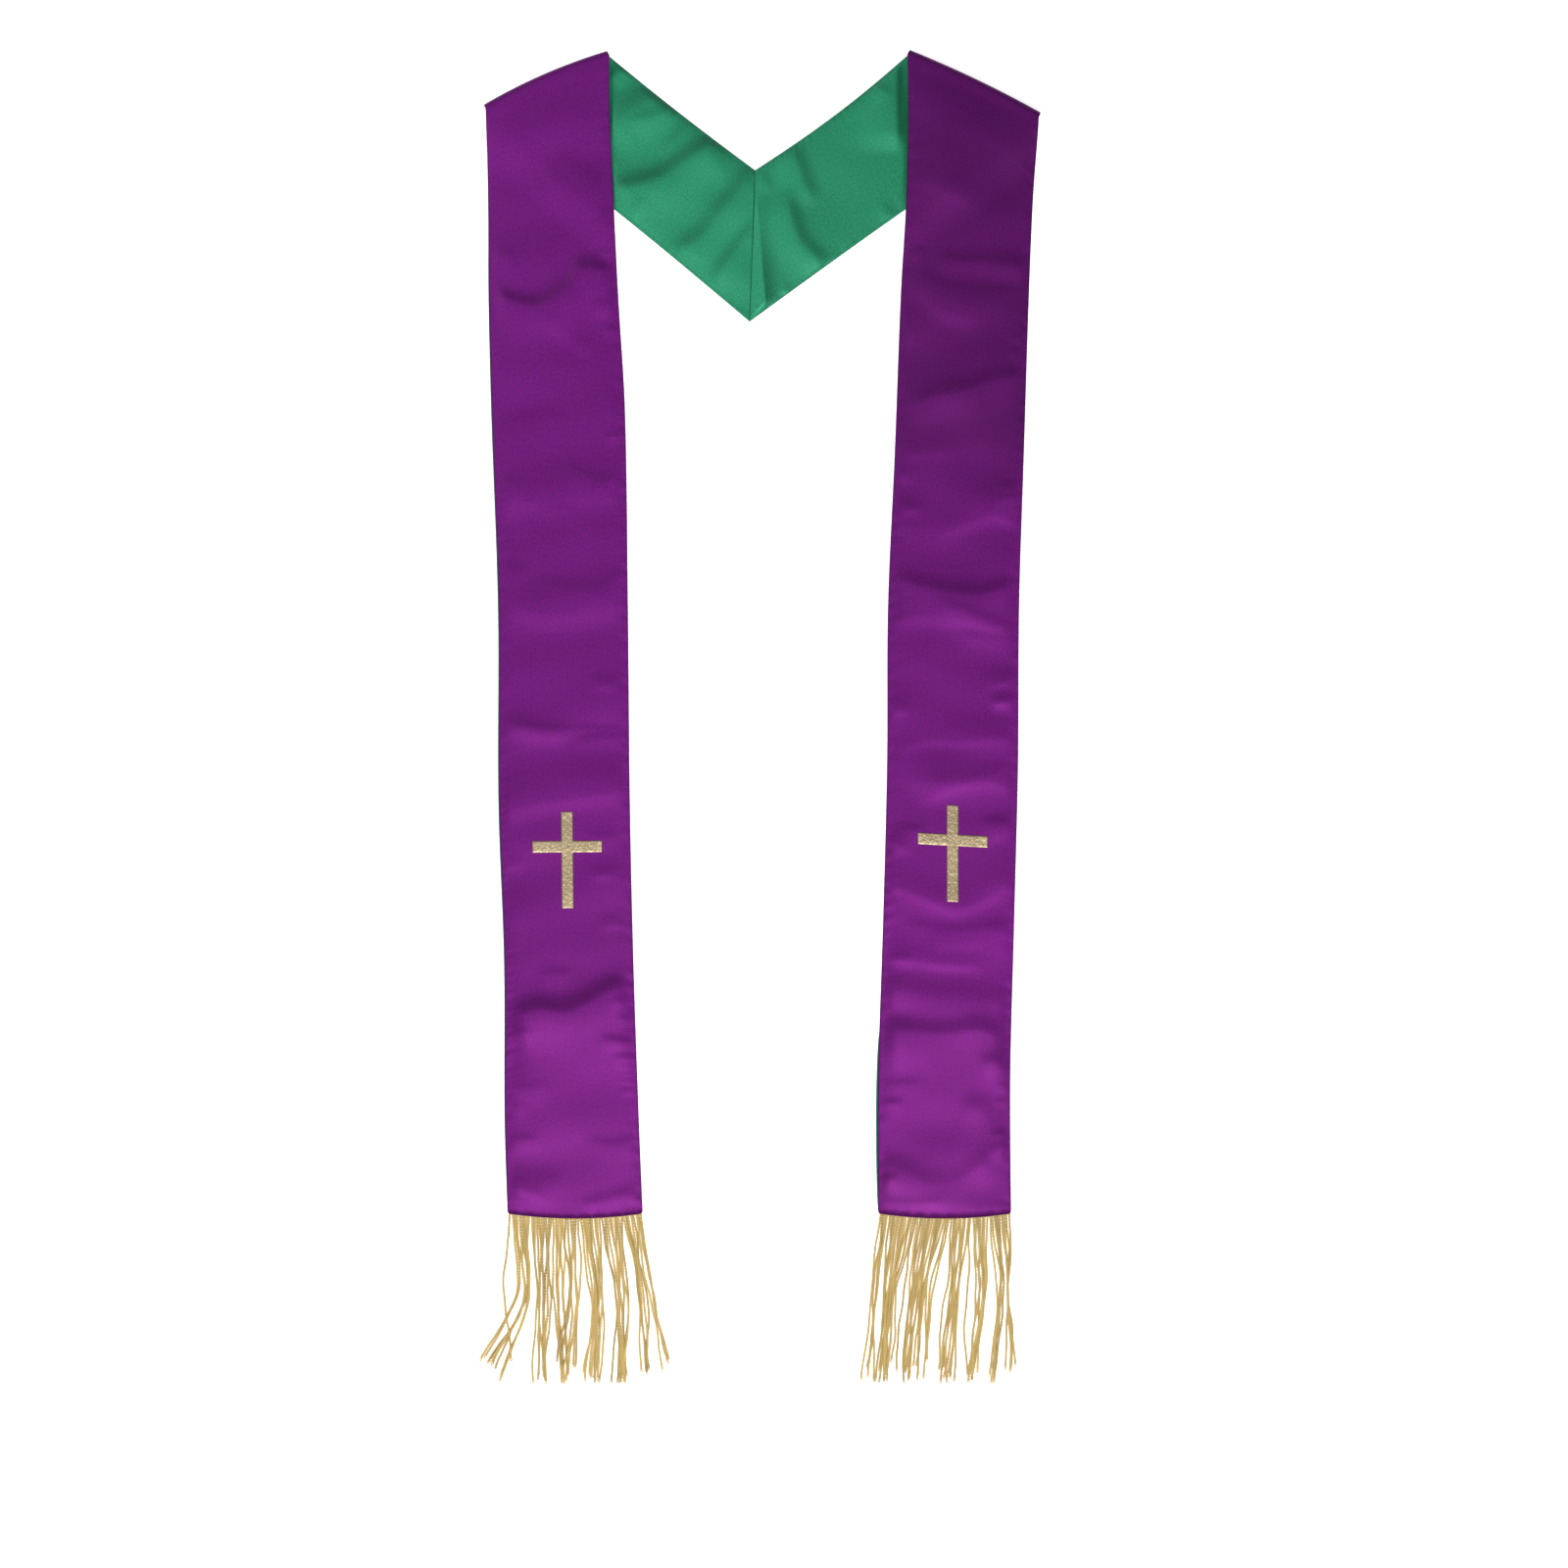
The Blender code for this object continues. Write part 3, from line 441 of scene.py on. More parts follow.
def linear(code):
    """Linear colour from an sRGB hex code."""
    channels = [int(code[i:i + 2], 16) / 255.0 for i in (1, 3, 5)]
    return tuple(c / 12.92 if c <= 0.04045 else ((c + 0.055) / 1.055) ** 2.4 for c in channels)


# Settings that a user would change


class SatinSettings(PropertyGroup):
    """Colours and feel of the two plies of satin."""

    purple: FloatVectorProperty(
        name="Purple satin", description="Colour of the ply that shows on the fronts",
        subtype="COLOR", min=0.0, max=1.0, default=linear("#5e136a"))
    green: FloatVectorProperty(
        name="Green satin", description="Colour of the ply that shows at the neck",
        subtype="COLOR", min=0.0, max=1.0, default=linear("#22865f"))
    thread_pitch: FloatProperty(
        name="Thread pitch", description="Distance between the floating threads of the weave",
        unit="LENGTH", min=0.0001, max=0.005, default=0.0009)
    pucker: FloatProperty(
        name="Seam pucker", description="Height of the small puckers along the sewn edges",
        unit="LENGTH", min=0.0, max=0.001, default=0.00012)
    swell: FloatProperty(
        name="Swell", description="Height of the slow unevenness all over the cloth",
        unit="LENGTH", min=0.0, max=0.003, default=0.00035)


class FringeSettings(PropertyGroup):
    """Yarn of the cut fringe."""

    colour: FloatVectorProperty(
        name="Yarn", description="Colour of the twisted yarn",
        subtype="COLOR", min=0.0, max=1.0, default=linear("#cbaf69"))
    ply_width: FloatProperty(
        name="Ply width", description="Thickness of each of the two plies that a strand is twisted from",
        unit="LENGTH", min=0.0002, max=0.002, default=0.00135)
    twist_pitch: FloatProperty(
        name="Twist pitch", description="Length of strand in which its plies turn round once",
        unit="LENGTH", min=0.001, max=0.03, default=0.0052)
    station: FloatProperty(
        name="Station spacing", description="Length of strand between two rings of its mesh",
        unit="LENGTH", min=0.0004, max=0.005, default=0.0011)


class FoilSettings(PropertyGroup):
    """Heat-pressed foil of the crosses."""

    colour: FloatVectorProperty(
        name="Foil", description="Colour of the metal foil",
        subtype="COLOR", min=0.0, max=1.0, default=linear("#b4a281"))
    thickness: FloatProperty(
        name="Thickness", description="Height of the foil and its glue above the satin",
        unit="LENGTH", min=0.0001, max=0.001, default=0.0003)
    crinkle: FloatProperty(
        name="Crinkle", description="Height of the small facets in the foil",
        unit="LENGTH", min=0.0, max=0.0005, default=0.00007)


class StitchSettings(PropertyGroup):
    """Understitching along the neck's edges."""

    inset: FloatProperty(
        name="Inset", description="Distance of the stitch line from the sewn edge",
        unit="LENGTH", min=0.0005, max=0.01, default=0.0022)
    pitch: FloatProperty(
        name="Pitch", description="Distance from one stitch to the next",
        unit="LENGTH", min=0.001, max=0.01, default=0.0034)
    length: FloatProperty(
        name="Length", description="Length of thread that shows in each stitch",
        unit="LENGTH", min=0.0005, max=0.01, default=0.0017)
    thread: FloatProperty(
        name="Thread", description="Thickness of the sewing thread",
        unit="LENGTH", min=0.0001, max=0.001, default=0.0003)


class StageSettings(PropertyGroup):
    """Floor, lights and camera."""

    floor: FloatVectorProperty(
        name="Floor", description="Colour of the floor",
        subtype="COLOR", min=0.0, max=1.0, default=linear("#f4f4f4"))
    camera_height: FloatProperty(
        name="Camera height", description="Height of the camera above the floor",
        unit="LENGTH", min=1.0, max=10.0, default=3.185)
    lens: FloatProperty(
        name="Lens", description="Focal length in millimetres on a 36 mm sensor",
        min=20.0, max=300.0, default=85.0)
    key_power: FloatProperty(
        name="Key light", description="Power of the soft light at the foot of the stole, in watts",
        min=0.0, max=1000.0, default=104.0)
    side_power: FloatProperty(
        name="Side light", description="Power of the soft light beside the left shoulder, in watts",
        min=0.0, max=1000.0, default=2.6)
    ambient: FloatProperty(
        name="Ambient", description="Strength of the even light from all round",
        min=0.0, max=5.0, default=0.24)


# Shape of the cloth


def between(start, end, share):
    """Value at a share of the way from start to end."""
    return start + (end - start) * share


def rise(value):
    """Smooth step from 0 to 1 as the value goes from 0 to 1."""
    value = np.clip(value, 0.0, 1.0)
    return value * value * (3.0 - 2.0 * value)


def hump(share):
    """Arch that is 0 at both ends of a share from 0 to 1, and 1 in the middle."""
    share = np.clip(share, 0.0, 1.0)
    return 4.0 * share * (1.0 - share)


def smooth_values(places, values, at):
    """Values on the smooth curve through the given ones, whose places rise or fall."""
    places = np.asarray(places, float)
    values = np.asarray(values, float)
    if places[0] > places[-1]:
        places = places[::-1]
        values = values[::-1]
    at = np.clip(at, places[0], places[-1])
    last = len(places) - 1
    span = np.clip(np.searchsorted(places, at) - 1, 0, last - 1)
    number = np.arange(last + 1)
    after = np.minimum(number + 1, last)
    before = np.maximum(number - 1, 0)
    slope = (values[after] - values[before]) / (places[after] - places[before])
    width = places[span + 1] - places[span]
    share = (at - places[span]) / width
    square = share * share
    cube = square * share
    return (
        (2.0 * cube - 3.0 * square + 1.0) * values[span]
        + (cube - 2.0 * square + share) * width * slope[span]
        + (3.0 * square - 2.0 * cube) * values[span + 1]
        + (cube - square) * width * slope[span + 1]
    )


def swell(plan, seed, count=14):
    """Slow unevenness of cloth that was folded and smoothed out, between about -1 and 1."""
    chance = np.random.default_rng(seed)
    total = np.zeros(plan.shape[:-1])
    for _ in range(count):
        heading = math.pi / 2.0 + chance.normal(0.0, 0.5)
        wave = math.tau / chance.uniform(*SWELL_WAVES)
        phase = chance.uniform(0.0, math.tau)
        across = plan[..., 0] * math.cos(heading) + plan[..., 1] * math.sin(heading)
        total += np.sin(across * wave + phase)
    return total / math.sqrt(count)


def pucker(along, seed):
    """Small uneven waves along a sewn edge, between about -1 and 1."""
    chance = np.random.default_rng(seed)
    total = np.zeros_like(along)
    for _ in range(7):
        wave = math.tau / chance.uniform(*PUCKER_WAVES)
        total += np.sin(along * wave + chance.uniform(0.0, math.tau))
    patch = 0.5 + 0.5 * np.sin(along / 31.0 + seed) * np.sin(along / 17.0 + 2.0 * seed)
    return total / PUCKER_SUM * between(0.35, 1.0, patch)


def edge_x(side, edge, y):
    """Where the outer_x or inner_x edge of a front is at a height."""
    return smooth_values([row.y for row in side.edges], [getattr(row, edge) for row in side.edges], y)


def turn_out(side):
    """Direction in which the shoulder fold faces, square to its line."""
    along = np.subtract(side.turn_inner, side.turn_outer)
    square = np.array((-along[1], along[0])) / np.hypot(*along)
    return square if square[1] > 0.0 else -square


def turn_axis(side, share):
    """Point on the axis of the shoulder fold, at a share of the width."""
    share = np.asarray(share, float)[..., None]
    line = between(np.array(side.turn_outer), np.array(side.turn_inner), share)
    return line + turn_out(side) * (side.turn_bow * hump(share) - TURN_RADIUS)


def past_line(plan, start, end):
    """Distance of points below the straight line from start to end."""
    along = (end - start) / np.hypot(*(end - start))
    across = np.array((-along[1], along[0]))
    if across[1] > 0.0:
        across = -across
    return (plan - start) @ across


def front_base(side, plan, share):
    """Height of a front's underside: up on the neck and the fold, then down on the surface."""
    axis_outer = turn_axis(side, 0.0)
    off_neck = past_line(plan, axis_outer, np.array(SEAM_OUTER)) - EDGE_LEDGE
    from_turn = past_line(plan, axis_outer, turn_axis(side, 1.0))
    share = np.clip(share, 0.0, 1.0)
    settle = between(side.settle_outer, side.settle_inner, share * share)
    turn_top = 2.0 * TURN_RADIUS - STACK
    on_neck = ABOVE_NECK * (1.0 - rise(off_neck / EDGE_SETTLE))
    on_turn = (turn_top - ABOVE_NECK) * (1.0 - rise(from_turn / settle))
    return on_neck + on_turn


def crease_height(creases, plan, share, width, ease):
    """Sum of the soft troughs and ridges of a strip at points of the plan."""
    total = np.zeros(plan.shape[:-1])
    for crease in creases:
        line = np.array(crease.line, float)
        length = np.hypot(*(line[-1] - line[0]))
        along = (line[-1] - line[0]) / length
        across = np.array((-along[1], along[0]))
        offset = plan - line[0]
        run = offset @ along
        bend = smooth_values((line - line[0]) @ along, (line - line[0]) @ across, run)
        from_crest = offset @ across - bend + crease.flank / math.sqrt(2.0)
        on_flank = from_crest * crease.flank > 0.0
        distance = from_crest / np.where(on_flank, abs(crease.flank), crease.tail)
        end = min(CREASE_END, 0.3 * length + 2.0)
        fade = rise(0.5 + run / (2.0 * end)) * rise(0.5 + (length - run) / (2.0 * end))
        fade = fade * by_edge(share, width, ease * (EDGE_RUN_OUT + 0.25 * crease.tail))
        total += crease.height * np.exp(-distance * distance) * fade
    return CREASE_GAIN * total


def loft(share):
    """Pillow shape across a strip: nothing at its sewn edges, nearly level between them."""
    return 1.0 - (2.0 * np.clip(share, 0.0, 1.0) - 1.0) ** 4


def by_edge(share, width, reach):
    """Gain across a strip that runs out inside the sewn edges."""
    return rise(share * width / reach) * rise((1.0 - share) * width / reach)


def heave(share, run):
    """Broad rise beside the inner edge below a loosely turned shoulder, up to 1."""
    down = rise(run / HEAVE_START) * (1.0 - rise((run - HEAVE_LEVEL) / HEAVE_FADE))
    across = rise(share / HEAVE_CREST) * (1.0 - rise((share - HEAVE_CREST) / (1.0 - HEAVE_CREST)))
    return down * across


def pleat_height(plan):
    """Tuck in the green ply beside the seam, which opens towards the point of the mitre."""
    run = np.clip((PLEAT_TOP_Y - plan[..., 1]) / (PLEAT_TOP_Y - SEAM_OUTER[1]), 0.0, 1.0)
    down = (SEAM_INNER[1] - plan[..., 1]) / (SEAM_INNER[1] - SEAM_OUTER[1])
    from_seam = np.maximum(plan[..., 0] - between(SEAM_INNER[0], SEAM_OUTER[0], down), 0.0)
    crest = np.maximum(PLEAT_WIDTH * run, 0.01)
    near = from_seam / crest
    beyond = np.clip((from_seam - crest) / PLEAT_FALL, 0.0, 1.0)
    return PLEAT_HEIGHT * run * np.where(near < 1.0, near, (1.0 - beyond) ** PLEAT_SLOPE)


def relief(creases, ease, seed, plan, share, width, settings):
    """Creases of a strip and the slow unevenness of its cloth."""
    uneven = swell(plan, seed) * by_edge(share, width, SWELL_RUN_OUT) * settings.swell / MM
    return crease_height(creases, plan, share, width, ease) + uneven


# Strips of satin


def edge_arc(is_purple, show):
    """Distance in from the edge and depth of a rolled edge, outer face then inner face.

    Columns run from the end that is tucked into the seam to the flat cloth. Where the green ply
    shows past the purple one, its edge reaches further out and rolls up over the seam.
    """
    show = np.asarray(show, float)[:, None]
    share = np.linspace(0.0, 1.0, ARC_STEPS + 1)
    # the purple edge opens upwards, the green one starts above the seam and runs down
    if is_purple:
        start = np.zeros_like(show)
        centre, depth_centre, turn = ROLL, ROLL, -1.0
        angle = share * math.pi / 2.0
    else:
        start = np.arccos(np.clip((ROLL - show + WRAP_START) / ROLL, 0.0, 1.0))
        centre, depth_centre, turn = ROLL - show, STACK - ROLL, 1.0
        angle = between(start, -math.pi / 2.0, share)
    wrapped = np.sin(start)
    faces = []
    for radius, tuck, wrap in zip((ROLL, ROLL - WALL), TUCK_DEPTHS, WRAP_DEPTHS):
        inward = centre - radius * np.cos(angle) + np.zeros_like(show)
        depth = depth_centre - radius * np.sin(angle) + np.zeros_like(show)
        tuck_in = between(TUCK_IN, WRAP_IN, wrapped)
        tuck_depth = between(SEAM_DEPTH + tuck * turn, wrap, wrapped)
        faces.append((np.hstack((tuck_in, inward)), np.hstack((tuck_depth, depth))))
    return faces


def strip_columns(is_purple, width, show_outer, show_inner):
    """Share of the width and depth of every column, for both faces."""
    width = width[:, None]
    middle = np.linspace(0.0, 1.0, MIDDLE_COLUMNS + 2)[1:-1]
    first = (np.array(EDGE_SPACING) + ROLL) / width
    last = 1.0 - first[:, ::-1]
    flat_share = np.hstack((first, between(first[:, -1:], last[:, :1], middle), last))
    top, inwards = (0.0, WALL) if is_purple else (STACK, -WALL)
    result = []
    arcs = zip(edge_arc(is_purple, show_outer), edge_arc(is_purple, show_inner))
    for face, (outer, inner) in enumerate(arcs):
        flat_depth = np.full_like(flat_share, top + inwards * face)
        share = np.hstack((outer[0] / width, flat_share, 1.0 - inner[0][:, ::-1] / width))
        depth = np.hstack((outer[1], flat_depth, inner[1][:, ::-1]))
        result.append((share, depth))
    return result


def rolled(depth, from_end, radius, is_purple):
    """Depth of a strip that also rolls in to the seam across its end, where the plies meet."""
    reach = np.clip(radius - from_end, 0.0, radius)
    end = (radius - np.sqrt(radius * radius - reach * reach)) / radius
    own_side = depth < SEAM_DEPTH if is_purple else depth > SEAM_DEPTH
    return np.where(own_side, between(depth, SEAM_DEPTH, end), depth)


def show_width(side, at_inner_edge, y):
    """How far the green ply shows past the purple one at a long edge."""
    if side.show.at_inner_edge != at_inner_edge:
        return np.zeros_like(y)
    share = (y - side.show.y_0) / (side.show.y_1 - side.show.y_0)
    return side.show.width * np.sqrt(hump(share))


def neck_rails(side, out, inset=0.0):
    """Lower and upper sewn edge of the neck, at shares of the way out from the mitre."""
    clear = np.array((side.outward * SEAM_HALF_GAP, 0.0))
    lower = between(SEAM_OUTER + clear, turn_axis(side, 0.0), out[:, None])
    upper = between(SEAM_INNER + clear, turn_axis(side, 1.0), out[:, None])
    across = (upper - lower) / np.hypot(*(upper - lower).T)[:, None]
    lower = lower + across * (side.neck_lower_waist * hump(out) + inset)[:, None]
    upper = upper - across * (side.neck_upper_waist * hump(out) + inset)[:, None]
    return lower, upper


def neck_zone(side, is_purple, settings):
    """Both faces of the rows from the centre-back seam to the shoulder fold."""
    count = PURPLE_NECK_ROWS if is_purple else GREEN_NECK_ROWS
    out = (np.arange(count + 1) / count) ** NECK_CROWDING
    lower, upper = neck_rails(side, out)
    bow = turn_out(side) * (side.turn_bow * out * out)[:, None]
    width = np.hypot(*(upper - lower).T)
    length = np.hypot(*(lower[0] - lower[-1]))
    seam_distance = (out * length)[:, None]
    none = np.zeros_like(out)
    faces = []
    for share, depth in strip_columns(is_purple, width, none, none):
        plan = between(lower[:, None], upper[:, None], share[..., None])
        plan = plan + bow[:, None] * hump(share)[..., None]
        height = rolled(depth, seam_distance, SEAM_ROLL, is_purple)
        if not is_purple:
            height = height + neck_lift(side, plan, share, seam_distance, width[:, None], settings)
        faces.append(np.dstack((plan, height)))
    return faces, width, -length * (1.0 - out), none + FAR, seam_distance[:, 0]


def neck_lift(side, plan, share, seam_distance, width, settings):
    """How far the green ply of the neck stands off the purple one, none under a front."""
    open_cloth = (edge_x(side, "inner_x", plan[..., 1]) - plan[..., 0]) * side.outward
    dip = between(SEAM_DIP, 1.0, rise(seam_distance / SEAM_DIP_REACH))
    creases = relief(side.neck_creases, NECK_EASE, NECK_SWELL_SEED + side.outward,
                     plan, share, width, settings)
    lift = np.maximum(NECK_LOFT * dip * loft(share) + creases, LOWEST_LIFT)
    if side.outward > 0:
        lift += pleat_height(plan) * rise(share * width / PLEAT_EASE)
    puckers = edge_puckers(share, width, seam_distance, NECK_PUCKER_SEED + side.outward, settings)
    return (lift + puckers) * rise(open_cloth / NECK_LOFT_START)


def edge_puckers(share, width, along, seed, settings):
    """Small puckers on the cloth just inside both sewn edges."""
    total = np.zeros_like(share)
    for number, inward in enumerate((share * width, (1.0 - share) * width)):
        near = rise(inward / PUCKER_START) * np.exp(-np.maximum(inward, 0.0) / PUCKER_REACH)
        total += pucker(along + PUCKER_LEAN * inward, seed + 2 * number) * near
    return total * PUCKER_GAIN * settings.pucker / MM


def turn_zone(side, is_purple):
    """Both faces of the rows round the shoulder fold."""
    angle = math.pi * (np.arange(1, TURN_STEPS) / TURN_STEPS - 0.5)
    width = np.full(len(angle), np.hypot(*np.subtract(side.turn_inner, side.turn_outer)))
    none = np.zeros_like(angle)
    out = turn_out(side)
    faces = []
    for share, depth in strip_columns(is_purple, width, none, none):
        radius = TURN_RADIUS - depth
        plan = turn_axis(side, share)
        plan = plan + out * (radius * np.cos(angle)[:, None])[..., None]
        height = TURN_RADIUS + radius * np.sin(angle)[:, None]
        faces.append(np.dstack((plan, height)))
    return faces, width, TURN_RADIUS * (angle + math.pi / 2.0), none + FAR, none + FAR


def front_zone(side, is_purple, settings):
    """Both faces of the rows from the shoulder fold to the hem."""
    top = turn_axis(side, np.array((0.0, 1.0)))
    length = top[0, 1] - HEM_Y
    pitch = PURPLE_ROW_PITCH if is_purple else GREEN_ROW_PITCH
    plain = np.arange(0.0, length - HEM_ROWS[0] - 0.6 * pitch, pitch)
    run = np.concatenate((plain, length - np.array(HEM_ROWS)))
    from_hem = length - run
    slant = 1.0 - rise(run / SLANT_REACH)
    outer_y = top[0, 1] - run
    inner_y = outer_y + (top[1, 1] - top[0, 1]) * slant
    outer = np.column_stack((edge_x(side, "outer_x", outer_y), outer_y))
    inner = np.column_stack((edge_x(side, "inner_x", inner_y), inner_y))
    meet = (1.0 - rise(run / TURN_MEET))[:, None]
    outer += (top[0] - outer[0]) * meet
    inner += (top[1] - inner[0]) * meet
    corner = np.clip(HEM_CORNER - from_hem, 0.0, HEM_CORNER)
    corner = HEM_CORNER - np.sqrt(HEM_CORNER ** 2 - corner ** 2)
    outer[:, 0] -= side.outward * corner
    inner[:, 0] += side.outward * corner
    bow_hem = HEM_BOW * rise(1.0 - from_hem / HEM_BOW_REACH)
    bow = turn_out(side) * (side.turn_bow * slant)[:, None]
    bow[:, 1] -= bow_hem
    width = np.hypot(*(inner - outer).T)
    shows = (np.zeros_like(run), np.zeros_like(run))
    if not is_purple:
        shows = (show_width(side, False, outer_y), show_width(side, True, inner_y))
    faces = []
    for share, depth in strip_columns(is_purple, width, *shows):
        plan = between(outer[:, None], inner[:, None], share[..., None])
        plan = plan + bow[:, None] * hump(share)[..., None]
        depth = rolled(depth, from_hem[:, None], ROLL, is_purple)
        height = front_base(side, plan, share) + STACK - depth
        if is_purple:
            height = height + front_lift(
                side, plan, share, run[:, None], from_hem[:, None], width[:, None], settings)
        faces.append(np.dstack((plan, height)))
    return faces, width, TURN_RADIUS * math.pi + run, from_hem, np.full_like(run, FAR)


def front_lift(side, plan, share, run, from_hem, width, settings):
    """How far the purple ply of a front stands off the green one under it."""
    creases = relief(side.front_creases, 1.0, FRONT_SWELL_SEED + side.outward,
                     plan, share, width, settings)
    creases = creases * rise(run / CREASE_START) * rise(from_hem / CREASE_START)
    body = FRONT_LOFT * rise(run / LOFT_START) * rise(from_hem / LOFT_START)
    body = body + side.heave * heave(share, run)
    hem = HEM_RAISE * (1.0 - rise(from_hem / LOFT_START))
    puckers = edge_puckers(share, width, run, FRONT_PUCKER_SEED + side.outward, settings)
    puckers = puckers * rise(run / CREASE_START)
    at_hem = rise(from_hem / HEM_PUCKER_START) * np.exp(-from_hem / HEM_PUCKER_REACH)
    at_hem = HEM_PUCKER_GAIN * at_hem * settings.pucker / MM
    puckers = puckers + pucker(plan[..., 0] + 0.3 * from_hem, HEM_PUCKER_SEED + side.outward) * at_hem
    return np.maximum(body * loft(share) + creases, LOWEST_LIFT) + hem + puckers


def strip(side, is_purple, settings):
    """One ply of a strip, from the centre-back seam over the shoulder to the hem."""
    zones = (
        neck_zone(side, is_purple, settings),
        turn_zone(side, is_purple),
        front_zone(side, is_purple, settings),
    )
    show = np.concatenate([zone[0][0] for zone in zones])
    inner = np.concatenate([zone[0][1] for zone in zones])
    rows, columns = show.shape[:2]
    index = np.arange(rows * columns).reshape(rows, columns)
    other = index + rows * columns

    def quads(a, b, c, d):
        return np.stack((a, b, c, d), axis=-1).reshape(-1, 4)

    faces = [
        quads(index[:-1, :-1], index[:-1, 1:], index[1:, 1:], index[1:, :-1]),
        quads(other[:-1, :-1], other[1:, :-1], other[1:, 1:], other[:-1, 1:]),
        quads(index[0, :-1], other[0, :-1], other[0, 1:], index[0, 1:]),
        quads(index[-1, :-1], index[-1, 1:], other[-1, 1:], other[-1, :-1]),
        quads(index[:-1, 0], index[1:, 0], other[1:, 0], other[:-1, 0]),
        quads(index[:-1, -1], other[:-1, -1], other[1:, -1], index[1:, -1]),
    ]
    width, along, from_hem, from_seam = (
        np.concatenate([zone[k] for zone in zones])[:, None] for k in (1, 2, 3, 4))
    sideways = np.linalg.norm(np.diff(show, axis=1), axis=2).cumsum(axis=1)
    across = np.hstack((np.zeros((rows, 1)), sideways))
    across = across - across[:, -1:] / 2.0
    marks = {
        "across": across,
        "along": along + 0.0 * across,
        # painted shade along the sewn edges, at the hem, at the mitre and just past the shoulder fold
        "seam": painted_edge_shade(across, width, along, from_hem, from_seam),
        # painted sheen and shade from the tilt of the cloth and the front's table of levels
        "lustre": lustre(side, is_purple, show),
    }
    # both faces of the ply carry the same marks
    marks = {name: np.tile(values, (2, 1)).ravel() for name, values in marks.items()}
    return np.concatenate((show, inner)).reshape(-1, 3), np.concatenate(faces), marks


def painted_edge_shade(across, width, along, from_hem, from_seam):
    """Painted shade: how much the satin's colour is darkened beside a seam, at the hem and just past the
    shoulder fold.
    """
    to_edge = np.maximum(np.minimum(width / 2.0 - across, width / 2.0 + across), 0.0)
    near = EDGE_SHADE * np.exp(-to_edge / EDGE_SHADE_REACH)
    uneven = from_hem + 0.6 * pucker(across, HEM_SHADE_SEED)
    # painted shade where the hem turns under above the fringe
    near = np.maximum(near, HEM_SHADE * np.exp(-(np.maximum(uneven, 0.0) / HEM_SHADE_REACH) ** 4))
    near = np.maximum(near, np.exp(-from_seam / MITRE_SHADE_REACH))
    past_turn = (along - 3.0 * TURN_RADIUS) / TURN_SHADE_REACH
    return np.maximum(near, TURN_SHADE * np.exp(-past_turn ** 2))


def lustre(side, is_purple, points):
    """Painted sheen and shade of the satin: its colour made lighter or darker by which way the cloth tilts
    against a set light direction and, on a front, by a table of levels down its length.
    """
    normal = np.cross(np.gradient(points, axis=0), np.gradient(points, axis=1))
    tilt = normal[..., :2] * np.sign(normal[..., 2:]) / np.maximum(abs(normal[..., 2:]), 1e-6)
    # painted highlight and shade: lighter where the cloth tilts towards a set light direction, darker where
    # it tilts away
    facing = tilt @ np.array(FRONT_PAINTED_LIGHT if is_purple else side.neck_shine)
    level = 1.0 + PAINTED_TILT_GAIN * np.clip(facing, *(PAINTED_TILT_RANGE if is_purple else NECK_PAINTED_TILT_RANGE))
    if not is_purple:
        return level
    # painted sheen and shade down each front, from its table of levels
    ys, levels, leans = zip(*side.lustre)
    place = points[..., 0]
    middle = 0.5 * (place[:, :1] + place[:, -1:])
    inward = (place - middle) / (place[:, -1:] - middle)
    painted_table_sheen = smooth_values(ys, levels, points[..., 1]) + inward * smooth_values(ys, leans, points[..., 1])
    return level * painted_table_sheen


def new_object(name, data):
    """Object at the origin that stands in the scene."""
    made = bpy.data.objects.new(name, data)
    bpy.context.scene.collection.objects.link(made)
    return made


def mesh_piece(name, points, faces, material):
    """Object with its place in its mesh, smooth, its faces pointing outwards."""
    mesh = bpy.data.meshes.new(name)
    mesh.from_pydata((points * MM).tolist(), [], faces.tolist())
    bm = bmesh.new()
    bm.from_mesh(mesh)
    bmesh.ops.recalc_face_normals(bm, faces=bm.faces)
    bm.to_mesh(mesh)
    bm.free()
    mesh.shade_smooth()
    mesh.materials.append(material)
    return new_object(name, mesh)


def satin_piece(side, is_purple, material, settings):
    """Strip of satin with a UV map in metres along its weave, and its painted shade and painted sheen as
    attributes.
    """
    points, faces, marks = strip(side, is_purple, settings)
    name = f"{'purple' if is_purple else 'green'}_satin_{side.name}"
    made = mesh_piece(name, points, faces, material)
    mesh = made.data
    corner = np.empty(len(mesh.loops), np.int32)
    mesh.loops.foreach_get("vertex_index", corner)
    flat = np.column_stack((marks["across"][corner], marks["along"][corner])) * MM
    mesh.uv_layers.new(name="strip").uv.foreach_set("vector", flat.ravel())
    # the painted shade and the painted sheen, kept on the mesh for the material
    for mark in ("seam", "lustre"):
        kept = mesh.attributes.new(mark, "FLOAT", "POINT")
        kept.data.foreach_set("value", marks[mark].astype(np.float32))
    return made


# Materials


def add_node(tree, kind, inputs=(), **settings):
    """Node with its settings, each input given a value or linked from another node's output."""
    node = tree.nodes.new(kind)
    for name, value in settings.items():
        setattr(node, name, value)
    for key, value in dict(inputs).items():
        if isinstance(value, bpy.types.NodeSocket):
            tree.links.new(value, node.inputs[key])
        else:
            node.inputs[key].default_value = value
    return node


def new_material(name, **sockets):
    """Material with its shader's constants set on the shader's own sockets."""
    material = bpy.data.materials.new(name)
    material.use_nodes = True
    shader = material.node_tree.nodes["Principled BSDF"]
    for key, value in sockets.items():
        shader.inputs[key.replace("_", " ")].default_value = value
    return material, material.node_tree, shader


